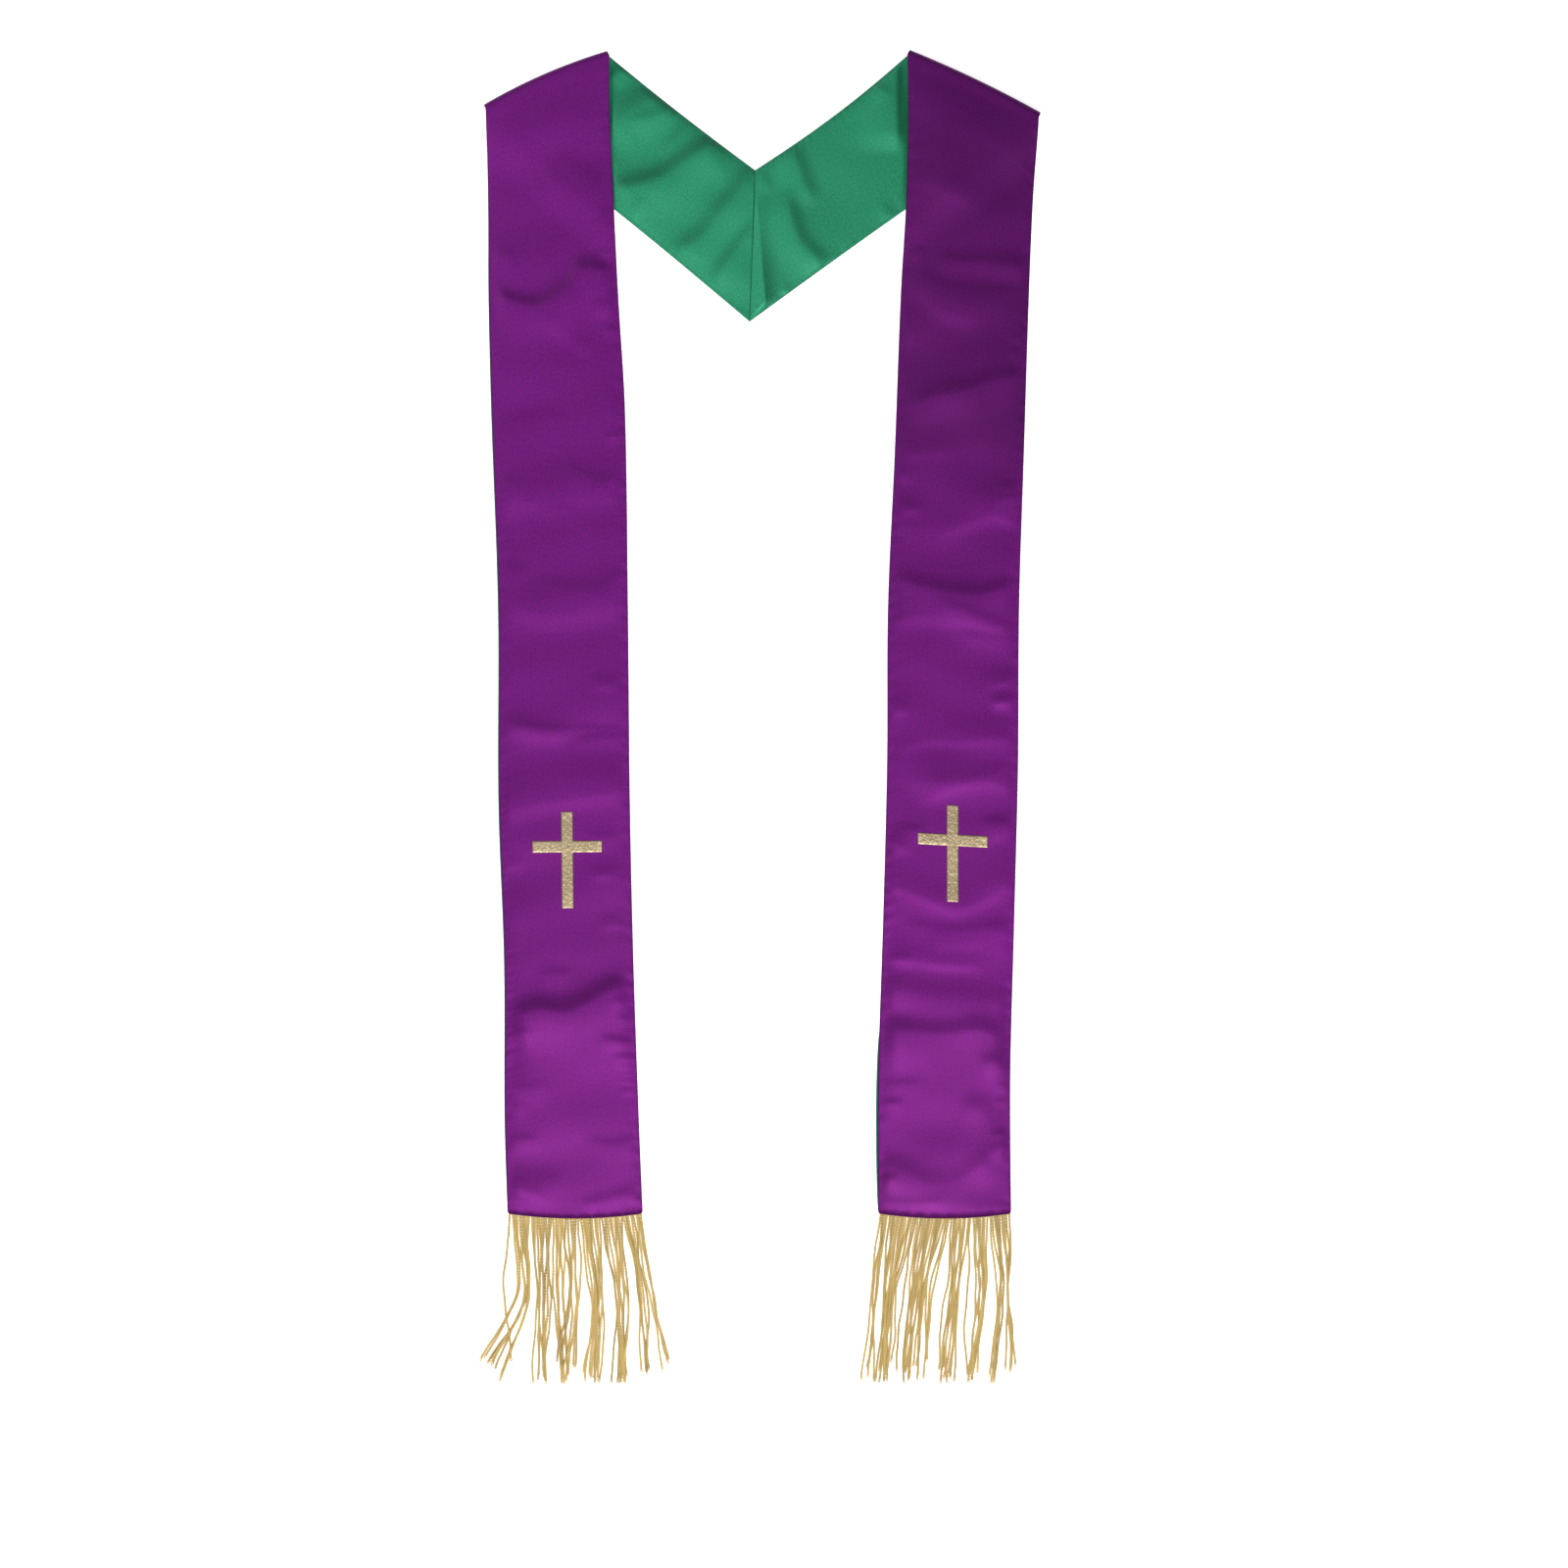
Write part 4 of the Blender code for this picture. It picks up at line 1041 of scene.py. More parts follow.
def math_node(tree, operation, *values):
    """Output of one sum on up to three values."""
    return add_node(tree, "ShaderNodeMath", dict(enumerate(values)), operation=operation).outputs[0]


def noise(tree, coords, scale, detail, roughness):
    """Value of a noise whose grain is one metre over its scale."""
    return add_node(tree, "ShaderNodeTexNoise", {
        "Vector": coords, "Scale": scale, "Detail": detail, "Roughness": roughness}).outputs[0]


def remap(tree, value, low, high, to_low=0.0, to_high=1.0, **settings):
    """Value carried over from one range to another and held at its ends."""
    return add_node(tree, "ShaderNodeMapRange", {
        "Value": value, "From Min": low, "From Max": high, "To Min": to_low, "To Max": to_high,
    }, **settings).outputs[0]


def mixed(tree, factor, first, second):
    """Colour output of two colours mixed by a factor."""
    return add_node(tree, "ShaderNodeMix", {0: factor, 6: first, 7: second}, data_type="RGBA").outputs[2]


def stretched(tree, coords, across, along):
    """Coordinates multiplied across and along the strip."""
    return add_node(tree, "ShaderNodeMapping", {
        "Vector": coords, "Scale": (across, along, 1.0)}).outputs["Vector"]


def attribute(tree, name):
    """Value of a mesh attribute."""
    return add_node(tree, "ShaderNodeAttribute", attribute_name=name).outputs["Fac"]


def on_object(tree):
    """Coordinates in metres of the piece's own space."""
    return add_node(tree, "ShaderNodeTexCoord").outputs["Object"]


def bumped(tree, height, strength, distance):
    """Normal of a fine relief."""
    return add_node(tree, "ShaderNodeBump", {
        "Height": height, "Strength": strength, "Distance": distance}).outputs["Normal"]


def connect(tree, shader, **outputs):
    """Links outputs to the shader's sockets of the same names."""
    for key, output in outputs.items():
        tree.links.new(output, shader.inputs[key.replace("_", " ")])


def shade(colour, gain):
    """Colour made darker or lighter by a gain, with full alpha."""
    return (*(min(channel * gain, 1.0) for channel in colour), 1.0)


def satin(name, colour, gloss_tint, ior, pitch):
    """Polyester satin: a smooth face of long floating threads, with a soft broad gloss along them.

    Its colour carries painted sheen and shade from the tilt of the cloth and a table of levels, and painted
    shade beside its seams.
    """
    gloss = (*gloss_tint, 1.0)
    material, tree, shader = new_material(
        name, Sheen_Weight=0.03, Sheen_Roughness=0.45, Sheen_Tint=gloss, IOR=ior,
        Specular_IOR_Level=1.0, Specular_Tint=gloss, Anisotropic=0.2)
    coords = add_node(tree, "ShaderNodeUVMap", uv_map="strip").outputs["UV"]
    # real thread spacing is 0.15 mm; the pitch is drawn coarser, so that it shows
    streak = noise(tree, stretched(tree, coords, 1.0 / pitch, 9.0), 0.5, 3.0, 0.6)
    # picks of the weft every 2.2 pitches
    pick = noise(tree, stretched(tree, coords, 60.0, 1.0 / (2.2 * pitch)), 0.6, 2.0, 0.5)
    weave = math_node(tree, "ADD", streak, pick)
    base = mixed(tree, remap(tree, weave, 0.7, 1.3), shade(colour, 1.0), shade(colour, 1.2))
    # slubs of 0.3 mm in the yarn, drawn as 2 mm flecks, so that they show
    slub = noise(tree, coords, 520.0, 1.0, 0.6)
    base = mixed(tree, remap(tree, slub, 0.35, 0.65), base, shade(colour, 0.71))
    # dye takes unevenly over a few centimetres
    cloud = noise(tree, coords, 22.0, 3.0, 0.55)
    base = mixed(tree, remap(tree, cloud, 0.3, 0.7, 0.0, 0.35), base, shade(colour, 0.88))
    # painted shade: the colour is mixed towards a dark copy beside the seams, at the hem and past the
    # shoulder fold
    edge_shade = math_node(tree, "MULTIPLY", attribute(tree, "seam"), 0.62)
    base = mixed(tree, edge_shade, base, shade(colour, 0.3))
    # painted sheen and shade: the colour is scaled by the tilt of the cloth and the table levels of the
    # front
    base = add_node(tree, "ShaderNodeVectorMath", {0: base, "Scale": attribute(tree, "lustre")},
                    operation="SCALE").outputs[0]
    # the rolled edges lose the gloss: their threads are bent hard and crushed by the seam
    rough = math_node(tree, "MULTIPLY_ADD", edge_shade, 0.45, remap(tree, cloud, 0.25, 0.75, 0.51, 0.58))
    tangent = add_node(tree, "ShaderNodeTangent", direction_type="UV_MAP", uv_map="strip").outputs[0]
    connect(tree, shader, Base_Color=base, Roughness=rough, Tangent=tangent,
            Normal=bumped(tree, weave, 0.2, 0.00006))
    return material


def yarn_material(colour):
    """Twisted viscose yarn: golden and silky, with fine fibres along each ply and browner depths."""
    material, tree, shader = new_material(
        "twisted viscose yarn", Roughness=0.5, Sheen_Weight=0.3, Sheen_Roughness=0.5,
        Sheen_Tint=(1.0, 0.9, 0.66, 1.0))
    coords = on_object(tree)
    # fibres are 0.02 mm; drawn as 0.5 mm flecks, so that they show
    fleck = noise(tree, coords, 2000.0, 2.0, 0.6)
    # the yarn fades here and there over a few centimetres
    drift = noise(tree, coords, 45.0, 2.0, 0.5)
    base = mixed(tree, attribute(tree, "tone"), shade(colour, 0.72), shade(colour, 1.12))
    base = mixed(tree, remap(tree, fleck, 0.35, 0.75, 0.0, 0.4), base, shade(colour, 0.62))
    base = mixed(tree, remap(tree, drift, 0.4, 0.7, 0.0, 0.3), base, shade(colour, 1.25))
    connect(tree, shader, Base_Color=base, Normal=bumped(tree, fleck, 0.5, 0.0001))
    return material


def foil_material(colour):
    """Heat-pressed metal foil: pale gold that glitters in small facets, dull where it wore off."""
    material, tree, shader = new_material("pressed gold foil", Metallic=0.82)
    coords = on_object(tree)
    # facets and worn patches of 1 mm, drawn as 2.4 mm ones, so that they show
    facets = add_node(tree, "ShaderNodeTexVoronoi", {"Vector": coords, "Scale": 420.0}, feature="F1")
    patch = noise(tree, coords, 420.0, 3.0, 0.6)
    grain = noise(tree, coords, 900.0, 4.0, 0.7)
    base = mixed(tree, remap(tree, patch, 0.42, 0.62), shade(colour, 1.12), shade(colour, 0.74))
    base = mixed(tree, remap(tree, grain, 0.55, 0.7, 0.0, 0.5), base, shade(colour, 0.55))
    height = math_node(tree, "ADD", facets.outputs["Distance"], grain)
    connect(tree, shader, Base_Color=base, Roughness=remap(tree, patch, 0.3, 0.7, 0.34, 0.54),
            Normal=bumped(tree, height, 0.5, 0.0003))
    return material


def thread_material(colour):
    """Polyester sewing thread: a twisted filament a little darker than its cloth."""
    material, tree, shader = new_material("green sewing thread", Roughness=0.5, Sheen_Weight=0.2)
    # twist of 0.4 mm
    twist = noise(tree, on_object(tree), 2600.0, 2.0, 0.5)
    connect(tree, shader, Base_Color=mixed(tree, twist, shade(colour, 0.5), shade(colour, 0.95)),
            Normal=bumped(tree, twist, 0.4, 0.00005))
    return material


def floor_material(colour):
    """Matt acrylic of a light table: even and pale, lit from below, with no gloss."""
    material, tree, shader = new_material(
        "matt light table acrylic", Roughness=0.9, Emission_Color=WHITE, Emission_Strength=0.74)
    # the sheet is a little uneven over a few decimetres
    cast = noise(tree, on_object(tree), 3.0, 4.0, 0.5)
    connect(tree, shader, Base_Color=mixed(tree, cast, shade(colour, 0.985), shade(colour, 1.0)))
    return material


# Fringe


def hem_point(side, share):
    """Point on the hem line, at a share from its left corner."""
    hem = side.edges[-1]
    left = min(hem.outer_x, hem.inner_x) + HEM_MARGIN
    right = max(hem.outer_x, hem.inner_x) - HEM_MARGIN
    return between(left, right, share), HEM_Y - HEM_BOW * hump(share)


def strand_lines(side):
    """Points down the middle of every strand of a fringe, from the hem seam to its cut end."""
    chance = np.random.default_rng(STRAND_SEED + side.outward)
    total = sum(lock.strands for lock in side.locks)
    lines = []
    for lock in side.locks:
        for number in range(lock.strands):
            lines.append(strand_line(side, lock, number, (len(lines) + 0.5) / total, total, chance))
    return lines


def strand_line(side, lock, number, place, total, chance):
    """Points down the middle of one strand of a lock, whose root has its place along the hem."""
    share = (number + 0.5) / lock.strands
    tip_x = between(lock.tip_0, lock.tip_1, share) + chance.normal(0.0, 1.2)
    tip_y = between(lock.tip_y_0, lock.tip_y_1, share) + chance.normal(1.5, 4.0)
    tip_y = max(tip_y, FRINGE_END_Y)
    waist = between(lock.waist_0, lock.waist_1, share) + chance.normal(0.0, 0.7)
    root_x, root_y = hem_point(side, place + chance.uniform(-0.2, 0.2) / total)
    root_y += ROOT_INSIDE
    level = number % 2 + (2 if lock.on_top else 0) + chance.uniform(0.0, 0.4)
    waist_run = (root_y - WAIST_Y) / (root_y - tip_y) * chance.uniform(0.82, 1.12)
    run = np.linspace(0.0, 1.0, STRAND_POINTS)
    x = smooth_values(
        [0.0, 0.35 * waist_run, waist_run, 1.0],
        [root_x, between(root_x, waist, 0.36), waist, tip_x], run)
    # one slow bend and one short one
    bends = ((chance.uniform(0.8, 1.9), chance.uniform(0.4, 1.8)), (chance.uniform(2.5, 4.5), 0.35))
    for count, reach in bends:
        wave = np.sin(run * math.tau * count + chance.uniform(0.0, 6.0))
        x += wave * reach * rise(run / 0.25)
    y = between(root_y, tip_y, run)
    lying = ROOT_Z + LEVEL_STEP * level + 0.2 * np.sin(run * 9.0 + chance.uniform(0.0, 6.0))
    z = between(ROOT_Z, lying, rise(run / 0.16))
    return np.column_stack((x, y, np.maximum(z, LOWEST_STRAND)))


def line_curves(name, lines):
    """Curve object of straight-sided splines, for a node tree to work on."""
    data = bpy.data.curves.new(name, "CURVE")
    data.dimensions = "3D"
    for line in lines:
        spline = data.splines.new("POLY")
        spline.points.add(len(line) - 1)
        flat = np.column_stack((line * MM, np.ones(len(line))))
        spline.points.foreach_set("co", flat.astype(np.float32).ravel())
    return new_object(name, data)


def new_tree(name, sockets):
    """Node tree with a geometry input and output and one named input for each other value."""
    tree = bpy.data.node_groups.new(name, "GeometryNodeTree")
    tree.interface.new_socket("Geometry", in_out="INPUT", socket_type="NodeSocketGeometry")
    for label, kind, subtype in sockets:
        socket = tree.interface.new_socket(label, in_out="INPUT", socket_type=kind)
        if subtype:
            socket.subtype = subtype
    tree.interface.new_socket("Geometry", in_out="OUTPUT", socket_type="NodeSocketGeometry")
    return tree, add_node(tree, "NodeGroupInput").outputs


def yarn_tree():
    """Tree that twists every line into a strand of two plies, whose cut end comes undone."""
    tree, given = new_tree("Twisted Yarn", (
        ("Ply Width", "NodeSocketFloat", "DISTANCE"),
        ("Twist Pitch", "NodeSocketFloat", "DISTANCE"),
        ("Station Spacing", "NodeSocketFloat", "DISTANCE"),
        ("Seed", "NodeSocketInt", ""),
        ("Material", "NodeSocketMaterial", ""),
    ))
    stations = add_node(tree, "GeometryNodeResampleCurve", {
        "Curve": given["Geometry"], "Length": given["Station Spacing"]}, mode="LENGTH")
    place = add_node(tree, "GeometryNodeInputIndex").outputs[0]
    tone = add_node(tree, "FunctionNodeRandomValue", {
        "ID": place, "Seed": given["Seed"]}, data_type="FLOAT").outputs[1]
    toned = add_node(tree, "GeometryNodeStoreNamedAttribute", {
        "Geometry": stations.outputs[0], "Name": "tone", "Value": tone},
        data_type="FLOAT", domain="CURVE")
    plies = add_node(tree, "GeometryNodeDuplicateElements", {
        "Geometry": toned.outputs[0], "Amount": 2}, domain="SPLINE")
    run = add_node(tree, "GeometryNodeSplineParameter").outputs
    half_turn = math_node(tree, "MULTIPLY", plies.outputs["Duplicate Index"], math.pi)
    strand_tone = add_node(tree, "GeometryNodeInputNamedAttribute", {"Name": "tone"},
                           data_type="FLOAT").outputs[0]
    phase = math_node(tree, "MULTIPLY_ADD", strand_tone, 19.0, half_turn)
    turns = math_node(tree, "DIVIDE", run["Length"], given["Twist Pitch"])
    angle = math_node(tree, "MULTIPLY_ADD", turns, math.tau, phase)
    # the last few millimetres come undone: the plies part and thin out
    undone = remap(tree, run["Factor"], 0.95, 1.0, interpolation_type="SMOOTHSTEP")
    reach = math_node(tree, "MULTIPLY_ADD", undone, 0.5, 0.42)
    reach = math_node(tree, "MULTIPLY", reach, given["Ply Width"])
    normal = add_node(tree, "GeometryNodeInputNormal").outputs[0]
    tangent = add_node(tree, "GeometryNodeInputTangent").outputs[0]
    beside = add_node(tree, "ShaderNodeVectorMath", {0: tangent, 1: normal},
                      operation="CROSS_PRODUCT").outputs[0]
    offset = None
    for direction, wave in ((normal, "COSINE"), (beside, "SINE")):
        amount = math_node(tree, "MULTIPLY", math_node(tree, wave, angle), reach)
        part = add_node(tree, "ShaderNodeVectorMath", {0: direction, "Scale": amount},
                        operation="SCALE").outputs[0]
        offset = part if offset is None else add_node(
            tree, "ShaderNodeVectorMath", {0: offset, 1: part}, operation="ADD").outputs[0]
    twisted = add_node(tree, "GeometryNodeSetPosition", {
        "Geometry": plies.outputs[0], "Offset": offset})
    thin = remap(tree, run["Factor"], 0.95, 1.0, 1.0, 0.45)
    plied = tube(tree, twisted.outputs[0], given["Ply Width"], thin)
    finish_tree(tree, plied, given["Material"])
    return tree


def tube(tree, curve, width, scale=1.0):
    """Five-sided closed tube of a width along a curve."""
    ring = add_node(tree, "GeometryNodeCurvePrimitiveCircle", {
        "Resolution": 5, "Radius": math_node(tree, "MULTIPLY", width, 0.5)}, mode="RADIUS")
    return add_node(tree, "GeometryNodeCurveToMesh", {
        "Curve": curve, "Profile Curve": ring.outputs[0], "Scale": scale, "Fill Caps": True}).outputs[0]


def finish_tree(tree, geometry, material):
    """Smooth faces, then Realize Instances and Set Material at the end of a tree."""
    smooth = add_node(tree, "GeometryNodeSetShadeSmooth", {"Geometry": geometry})
    real = add_node(tree, "GeometryNodeRealizeInstances", {"Geometry": smooth.outputs[0]})
    dressed = add_node(tree, "GeometryNodeSetMaterial", {
        "Geometry": real.outputs[0], "Material": material})
    add_node(tree, "NodeGroupOutput", {"Geometry": dressed.outputs[0]})


def grown(source, tree, values, name):
    """Plain mesh piece that a tree makes from a source object, which is removed."""
    modifier = source.modifiers.new(tree.name, "NODES")
    modifier.node_group = tree
    for socket in tree.interface.items_tree:
        if socket.item_type == "SOCKET" and socket.name in values:
            modifier[socket.identifier] = values[socket.name]
    bpy.context.view_layer.update()
    evaluated = source.evaluated_get(bpy.context.evaluated_depsgraph_get())
    mesh = bpy.data.meshes.new_from_object(evaluated)
    mesh.name = name
    bpy.data.objects.remove(source)
    return new_object(name, mesh)


def add_heading(piece, side):
    """Adds the woven heading that holds the strands, hidden in the hem seam."""
    bm = bmesh.new()
    bm.from_mesh(piece.data)
    rings = []
    for share in np.linspace(0.0, 1.0, HEADING_RINGS):
        x, y = hem_point(side, share)
        high = HEADING_HIGH + HEADING_RIB * math.cos(share * HEADING_RINGS * math.pi)
        front, back = y - HEADING_PROUD, y + HEADING_BACK
        corners = ((front, HEADING_LOW), (front, high), (back, high), (back, HEADING_LOW))
        rings.append([bm.verts.new(Vector((x, place, z)) * MM) for place, z in corners])
    for before, after in zip(rings, rings[1:]):
        for k in range(4):
            bm.faces.new((before[k], after[k], after[(k + 1) % 4], before[(k + 1) % 4]))
    bm.faces.new(rings[0])
    bm.faces.new(rings[-1][::-1])
    bmesh.ops.recalc_face_normals(bm, faces=bm.faces)
    bm.to_mesh(piece.data)
    bm.free()


# Crosses and stitches


def stations(edges, cell):
    """Places from the first edge to the last one, with every gap cut in cells of one size."""
    places = []
    for start, end in zip(edges, edges[1:]):
        cells = math.ceil(abs(end - start) / cell)
        places += [between(start, end, k / cells) for k in range(cells)]
    return np.array(places + [edges[-1]])


def crinkle(x, y, seed):
    """Small creased facets, between 0 and 1."""
    chance = np.random.default_rng(seed)
    total = np.zeros_like(x)
    for _ in range(7):
        heading = chance.uniform(0.0, math.pi)
        wave = chance.uniform(3.0, 8.0)
        place = (x * math.cos(heading) + y * math.sin(heading)) / wave + chance.uniform(0.0, 1.0)
        total += np.abs(2.0 * (place - np.floor(place)) - 1.0)
    return total / 7.0


def foil_cross(side, panel, material, settings):
    """Latin cross of foil pressed on the satin, which follows its creases."""
    shape = side.cross
    surface = BVHTree.FromObject(panel, bpy.context.evaluated_depsgraph_get())
    half_bar = CROSS_BAR / 2.0
    half_span = CROSS_SPAN / 2.0
    xs = stations([-half_span, -half_bar, half_bar, half_span], CROSS_CELL)
    ys = stations([0.0, half_bar - CROSS_ARM_DROP, -half_bar - CROSS_ARM_DROP, -CROSS_HEIGHT],
                  CROSS_CELL)
    x, y = np.meshgrid(xs, ys, indexing="ij")
    lean = math.tan(math.radians(shape.lean))
    tilt = math.tan(math.radians(shape.arm_tilt))
    plan_x = shape.middle_x + x - (y + CROSS_ARM_DROP) * lean
    plan_y = shape.top_y + y + x * tilt
    middle_x = (xs[:-1] + xs[1:]) / 2.0
    middle_y = (ys[:-1] + ys[1:]) / 2.0
    filled = (np.abs(middle_x)[:, None] < half_bar) | (
        np.abs(middle_y + CROSS_ARM_DROP)[None, :] < half_bar)
    from_rim = np.minimum(
        np.maximum(half_bar - np.abs(x), half_bar - np.abs(y + CROSS_ARM_DROP)),
        np.minimum(half_span - np.abs(x), np.minimum(-y, y + CROSS_HEIGHT)))
    folds = crinkle(x, y, FOIL_SEED + side.outward) * settings.crinkle / MM * 3.0
    top = settings.thickness / MM * between(0.45, 1.0, rise(from_rim / FOIL_RIM)) + folds
    points = []
    index = {}
    for column, row in np.argwhere(np.ones_like(x, bool)):
        cells = filled[max(column - 1, 0):column + 1, max(row - 1, 0):row + 1]
        if not cells.any():
            continue
        place = Vector((plan_x[column, row], plan_y[column, row], WELL_ABOVE)) * MM
        low = surface.ray_cast(place, DOWN)[0].z / MM + CROSS_CLEAR
        index[(column, row)] = len(points)
        points += [(place.x / MM, place.y / MM, z) for z in (low, low + top[column, row])]
    faces = []
    rim = set()
    for column, row in np.argwhere(filled):
        keys = [(column, row), (column + 1, row), (column + 1, row + 1), (column, row + 1)]
        faces.append([index[key] for key in keys])
        faces.append([index[key] + 1 for key in reversed(keys)])
        for start, end in zip(keys, keys[1:] + keys[:1]):
            if (end, start) in rim:
                rim.remove((end, start))
            else:
                rim.add((start, end))
    for start, end in sorted(rim):
        faces.append([index[start], index[end], index[end] + 1, index[start] + 1])
    return mesh_piece(f"foil_cross_{side.name}", np.array(points), np.array(faces), material)


def stitch_tree():
    """Tree that lays a short bowed stitch of thread at even steps along every line."""
    tree, given = new_tree("Understitching", (
        ("Pitch", "NodeSocketFloat", "DISTANCE"),
        ("Length", "NodeSocketFloat", "DISTANCE"),
        ("Thread", "NodeSocketFloat", "DISTANCE"),
        ("Seed", "NodeSocketInt", ""),
        ("Material", "NodeSocketMaterial", ""),
    ))
    places = add_node(tree, "GeometryNodeCurveToPoints", {
        "Curve": given["Geometry"], "Length": given["Pitch"]}, mode="LENGTH")
    half = math_node(tree, "MULTIPLY", given["Length"], 0.5)
    back = math_node(tree, "MULTIPLY", half, -1.0)
    sink = math_node(tree, "MULTIPLY", given["Thread"], -0.6)
    start = add_node(tree, "ShaderNodeCombineXYZ", {"Z": back, "X": sink}).outputs[0]
    middle = add_node(tree, "ShaderNodeCombineXYZ", {
        "X": math_node(tree, "MULTIPLY", given["Thread"], 0.9)}).outputs[0]
    end = add_node(tree, "ShaderNodeCombineXYZ", {"Z": half, "X": sink}).outputs[0]
    bow = add_node(tree, "GeometryNodeCurveQuadraticBezier", {
        "Resolution": 5, "Start": start, "Middle": middle, "End": end})
    stitch = tube(tree, bow.outputs[0], given["Thread"])
    uneven = add_node(tree, "FunctionNodeRandomValue", {
        2: 0.8, 3: 1.15, "Seed": given["Seed"]}, data_type="FLOAT").outputs[1]
    laid = add_node(tree, "GeometryNodeInstanceOnPoints", {
        "Points": places.outputs["Points"], "Instance": stitch,
        "Rotation": places.outputs["Rotation"], "Scale": uneven})
    finish_tree(tree, laid.outputs[0], given["Material"])
    return tree


def stitch_lines(side, inset):
    """Lines just inside both sewn edges of the neck's green ply, on the panel as it was built."""
    panel = bpy.data.objects[f"green_satin_{side.name}"]
    surface = BVHTree.FromObject(panel, bpy.context.evaluated_depsgraph_get())
    lines = []
    for plan in neck_rails(side, np.linspace(0.012, 0.97, 90), inset):
        open_cloth = (edge_x(side, "inner_x", plan[:, 1]) - plan[:, 0]) * side.outward > -2.0
        line = []
        for x, y in plan[open_cloth]:
            hit = surface.ray_cast(Vector((x, y, WELL_ABOVE)) * MM, DOWN)[0]
            if hit is not None:
                line.append((x, y, hit.z / MM + 0.05))
        lines.append(np.array(line))
    return lines


# Operators, one for each piece or group of like pieces


def settings():
    """The user's settings for the whole stole."""
    return bpy.context.scene.stole


def declare(piece, slot, *nodes):
    """Attaches a piece to the body that it rides on and hides the CAD nodes that it stands for. The slot is
    not used.
    """
    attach(piece, BODY)
    if nodes:
        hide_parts(*nodes)


class STOLE_OT_green_satin(Operator):
    """Make the green ply of both strips, which shows at the neck."""

    bl_idname = "stole.green_satin"
    bl_label = "Green satin"

    def execute(self, context):
        satins = settings().satin
        material = satin("green polyester satin", satins.green, (0.25, 1.0, 0.66), 1.55, satins.thread_pitch)
        for side in SIDES:
            piece = satin_piece(side, False, material, satins)
            declare(piece, "green_satin", f"green_{side.name}")
        return {"FINISHED"}


class STOLE_OT_purple_satin(Operator):
    """Make the purple ply of both strips, which shows on the fronts."""

    bl_idname = "stole.purple_satin"
    bl_label = "Purple satin"

    def execute(self, context):
        satins = settings().satin
        material = satin("purple polyester satin", satins.purple, (1.0, 0.14, 1.0), 1.5, satins.thread_pitch)
        for side in SIDES:
            piece = satin_piece(side, True, material, satins)
            declare(piece, "purple_satin", f"purple_{side.name}")
        return {"FINISHED"}


class STOLE_OT_foil_crosses(Operator):
    """Press a foil cross on each front."""

    bl_idname = "stole.foil_crosses"
    bl_label = "Foil crosses"

    def execute(self, context):
        material = foil_material(settings().foil.colour)
        for side in SIDES:
            panel = bpy.data.objects[f"purple_satin_{side.name}"]
            piece = foil_cross(side, panel, material, settings().foil)
            declare(piece, "gold_foil", f"cross_{side.name}")
        return {"FINISHED"}


class STOLE_OT_fringes(Operator):
    """Hang the cut fringe in both hem seams."""

    bl_idname = "stole.fringes"
    bl_label = "Cut fringes"

    def execute(self, context):
        yarn = settings().fringe
        material = yarn_material(yarn.colour)
        tree = yarn_tree()
        for side in SIDES:
            piece = grown(line_curves("strand_lines", strand_lines(side)), tree, {
                "Ply Width": yarn.ply_width,
                "Twist Pitch": yarn.twist_pitch,
                "Station Spacing": yarn.station,
                "Seed": YARN_SEED + side.outward,
                "Material": material,
            }, f"cut_fringe_{side.name}")
            add_heading(piece, side)
            declare(piece, "gold_fringe", f"fringe_{side.name}")
        return {"FINISHED"}


class STOLE_OT_stitches(Operator):
    """Run the understitching along the neck's edges."""

    bl_idname = "stole.stitches"
    bl_label = "Neck stitches"

    def execute(self, context):
        sewing = settings().stitch
        material = thread_material(settings().satin.green)
        tree = stitch_tree()
        for side in SIDES:
            lines = stitch_lines(side, sewing.inset / MM)
            piece = grown(line_curves("stitch_lines", lines), tree, {
                "Pitch": sewing.pitch,
                "Length": sewing.length,
                "Thread": sewing.thread,
                "Seed": STITCH_SEED + side.outward,
                "Material": material,
            }, f"neck_stitches_{side.name}")
            declare(piece, "green_satin")
        return {"FINISHED"}


class STOLE_OT_sheets(Operator):
    """Step for the flat cut of the strips of satin, which makes nothing."""

    bl_idname = "stole.sheets"
    bl_label = "Cut of the cloth"

    def execute(self, context):
        return {"FINISHED"}


class STOLE_OT_stage(Operator):
    """Set the floor, the soft light and the camera straight above."""

    bl_idname = "stole.stage"
    bl_label = "Stage"

    def execute(self, context):
        stage = settings().stage
        scene = context.scene
        table_top(floor_material(stage.floor))
        add_light("key softbox", KEY_PLACE, (0.0, 0.0, 0.0), KEY_SIZE, stage.key_power)
        add_light("side softbox", SIDE_PLACE, SIDE_TARGET, SIDE_SIZE, stage.side_power)
        world = bpy.data.worlds.new("even studio light")
        world.use_nodes = True
        background = world.node_tree.nodes["Background"]
        background.inputs["Color"].default_value = WHITE
        background.inputs["Strength"].default_value = stage.ambient
        scene.world = world
        scene.view_settings.view_transform = "Standard"
        lens = bpy.data.cameras.new("camera above")
        lens.lens = stage.lens
        lens.clip_end = 50.0
        camera = new_object("camera above", lens)
        camera.location = (CAMERA_X, CAMERA_Y, stage.camera_height)
        scene.camera = camera
        return {"FINISHED"}


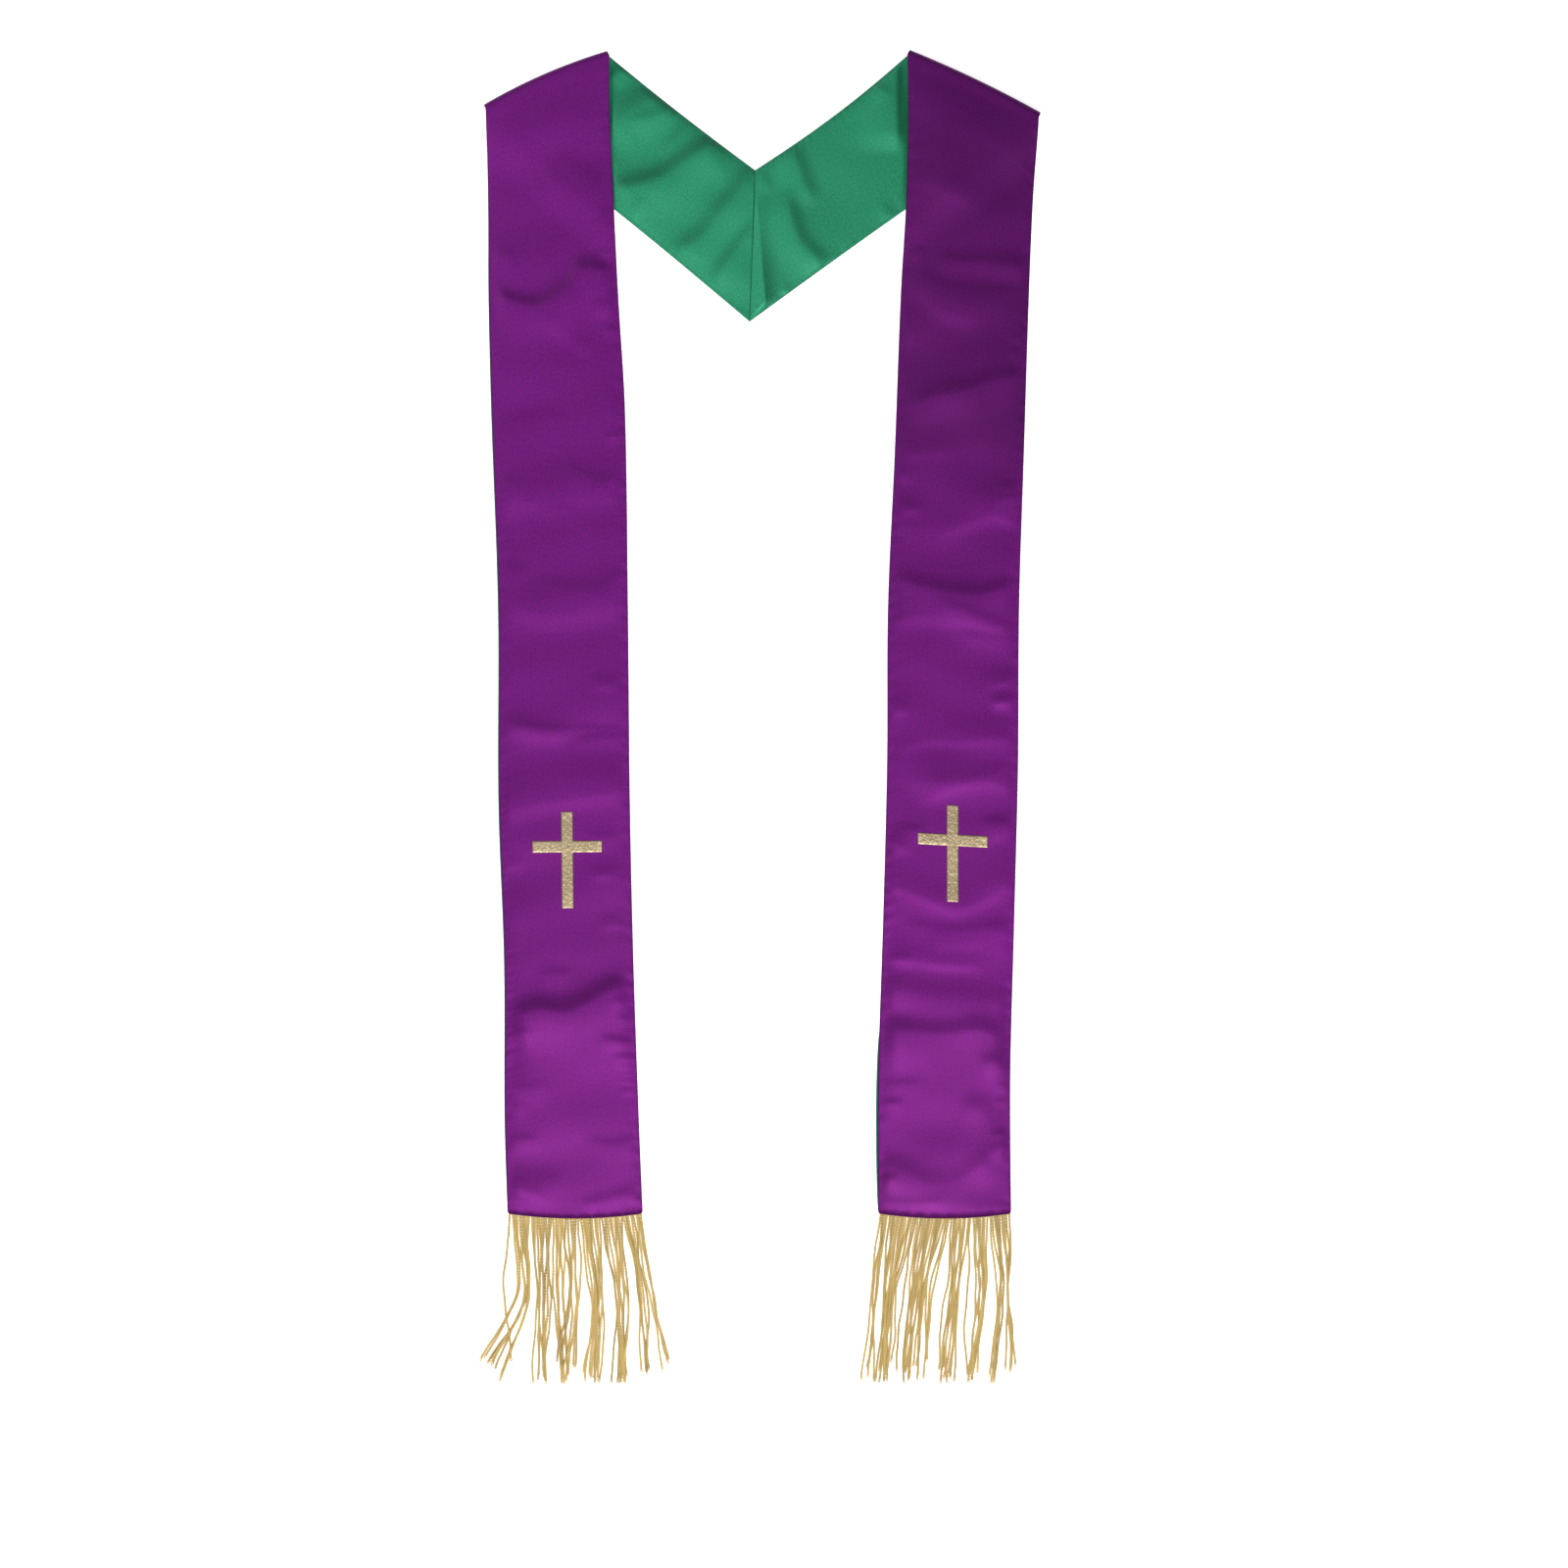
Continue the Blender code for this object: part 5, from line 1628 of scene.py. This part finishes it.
def table_top(material):
    """Wide acrylic sheet of a light table that curls up a little far from the stole."""
    points = [(0.0, 0.0, 0.0)]
    for radius in TABLE_RINGS[1:]:
        lift = TABLE_CURL_MM * MM * rise((radius - TABLE_CURL_START) / TABLE_CURL_REACH)
        for spoke in range(TABLE_SPOKES):
            angle = math.tau * spoke / TABLE_SPOKES
            points.append((radius * math.cos(angle), radius * math.sin(angle), lift))
    faces = [(0, 1 + k, 1 + (k + 1) % TABLE_SPOKES) for k in range(TABLE_SPOKES)]
    for ring in range(len(TABLE_RINGS) - 2):
        low = 1 + ring * TABLE_SPOKES
        high = low + TABLE_SPOKES
        for k in range(TABLE_SPOKES):
            after = (k + 1) % TABLE_SPOKES
            faces.append((low + k, high + k, high + after, low + after))
    mesh = bpy.data.meshes.new("light table")
    mesh.from_pydata(points, [], faces)
    mesh.shade_smooth()
    mesh.materials.append(material)
    return new_object("light_table", mesh)


def add_light(name, place, target, size, power):
    """Square soft light that faces its target."""
    light = bpy.data.lights.new(name, "AREA")
    light.shape = "SQUARE"
    light.size = size
    light.energy = power
    lamp = new_object(name, light)
    lamp.location = place
    lamp.rotation_euler = (Vector(target) - Vector(place)).to_track_quat("-Z", "Y").to_euler()


class StoleSettings(PropertyGroup):
    """All settings of the stole."""

    satin: PointerProperty(type=SatinSettings)
    fringe: PointerProperty(type=FringeSettings)
    foil: PointerProperty(type=FoilSettings)
    stitch: PointerProperty(type=StitchSettings)
    stage: PointerProperty(type=StageSettings)


OPERATORS = (
    STOLE_OT_green_satin,
    STOLE_OT_purple_satin,
    STOLE_OT_foil_crosses,
    STOLE_OT_fringes,
    STOLE_OT_stitches,
    STOLE_OT_sheets,
    STOLE_OT_stage,
)


class STOLE_PT_pieces(Panel):
    """Pieces of the stole and their settings."""

    bl_label = "Clerical Stole"
    bl_idname = "STOLE_PT_pieces"
    bl_space_type = "VIEW_3D"
    bl_region_type = "UI"
    bl_category = "Stole"

    def draw(self, context):
        stole = context.scene.stole
        for operator in OPERATORS:
            self.layout.operator(operator.bl_idname)
        for label, group in (("Satin", stole.satin), ("Fringe", stole.fringe), ("Foil", stole.foil),
                             ("Stitches", stole.stitch), ("Stage", stole.stage)):
            box = self.layout.box()
            box.label(text=label)
            for name in group.__annotations__:
                box.prop(group, name)


CLASSES = (
    SatinSettings, FringeSettings, FoilSettings, StitchSettings, StageSettings, StoleSettings,
    *OPERATORS, STOLE_PT_pieces,
)


def register():
    """Register the classes and hang the settings on the scene."""
    for cls in CLASSES:
        bpy.utils.register_class(cls)
    bpy.types.Scene.stole = PointerProperty(type=StoleSettings)


def unregister():
    """Take the settings and the classes away again."""
    del bpy.types.Scene.stole
    for cls in reversed(CLASSES):
        bpy.utils.unregister_class(cls)


def main():
    """Build every piece and set the stage."""
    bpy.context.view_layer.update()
    register()
    bpy.ops.stole.green_satin()
    bpy.ops.stole.purple_satin()
    bpy.ops.stole.foil_crosses()
    bpy.ops.stole.fringes()
    bpy.ops.stole.stitches()
    bpy.ops.stole.sheets()
    bpy.ops.stole.stage()


if __name__ == "__main__":
    main()
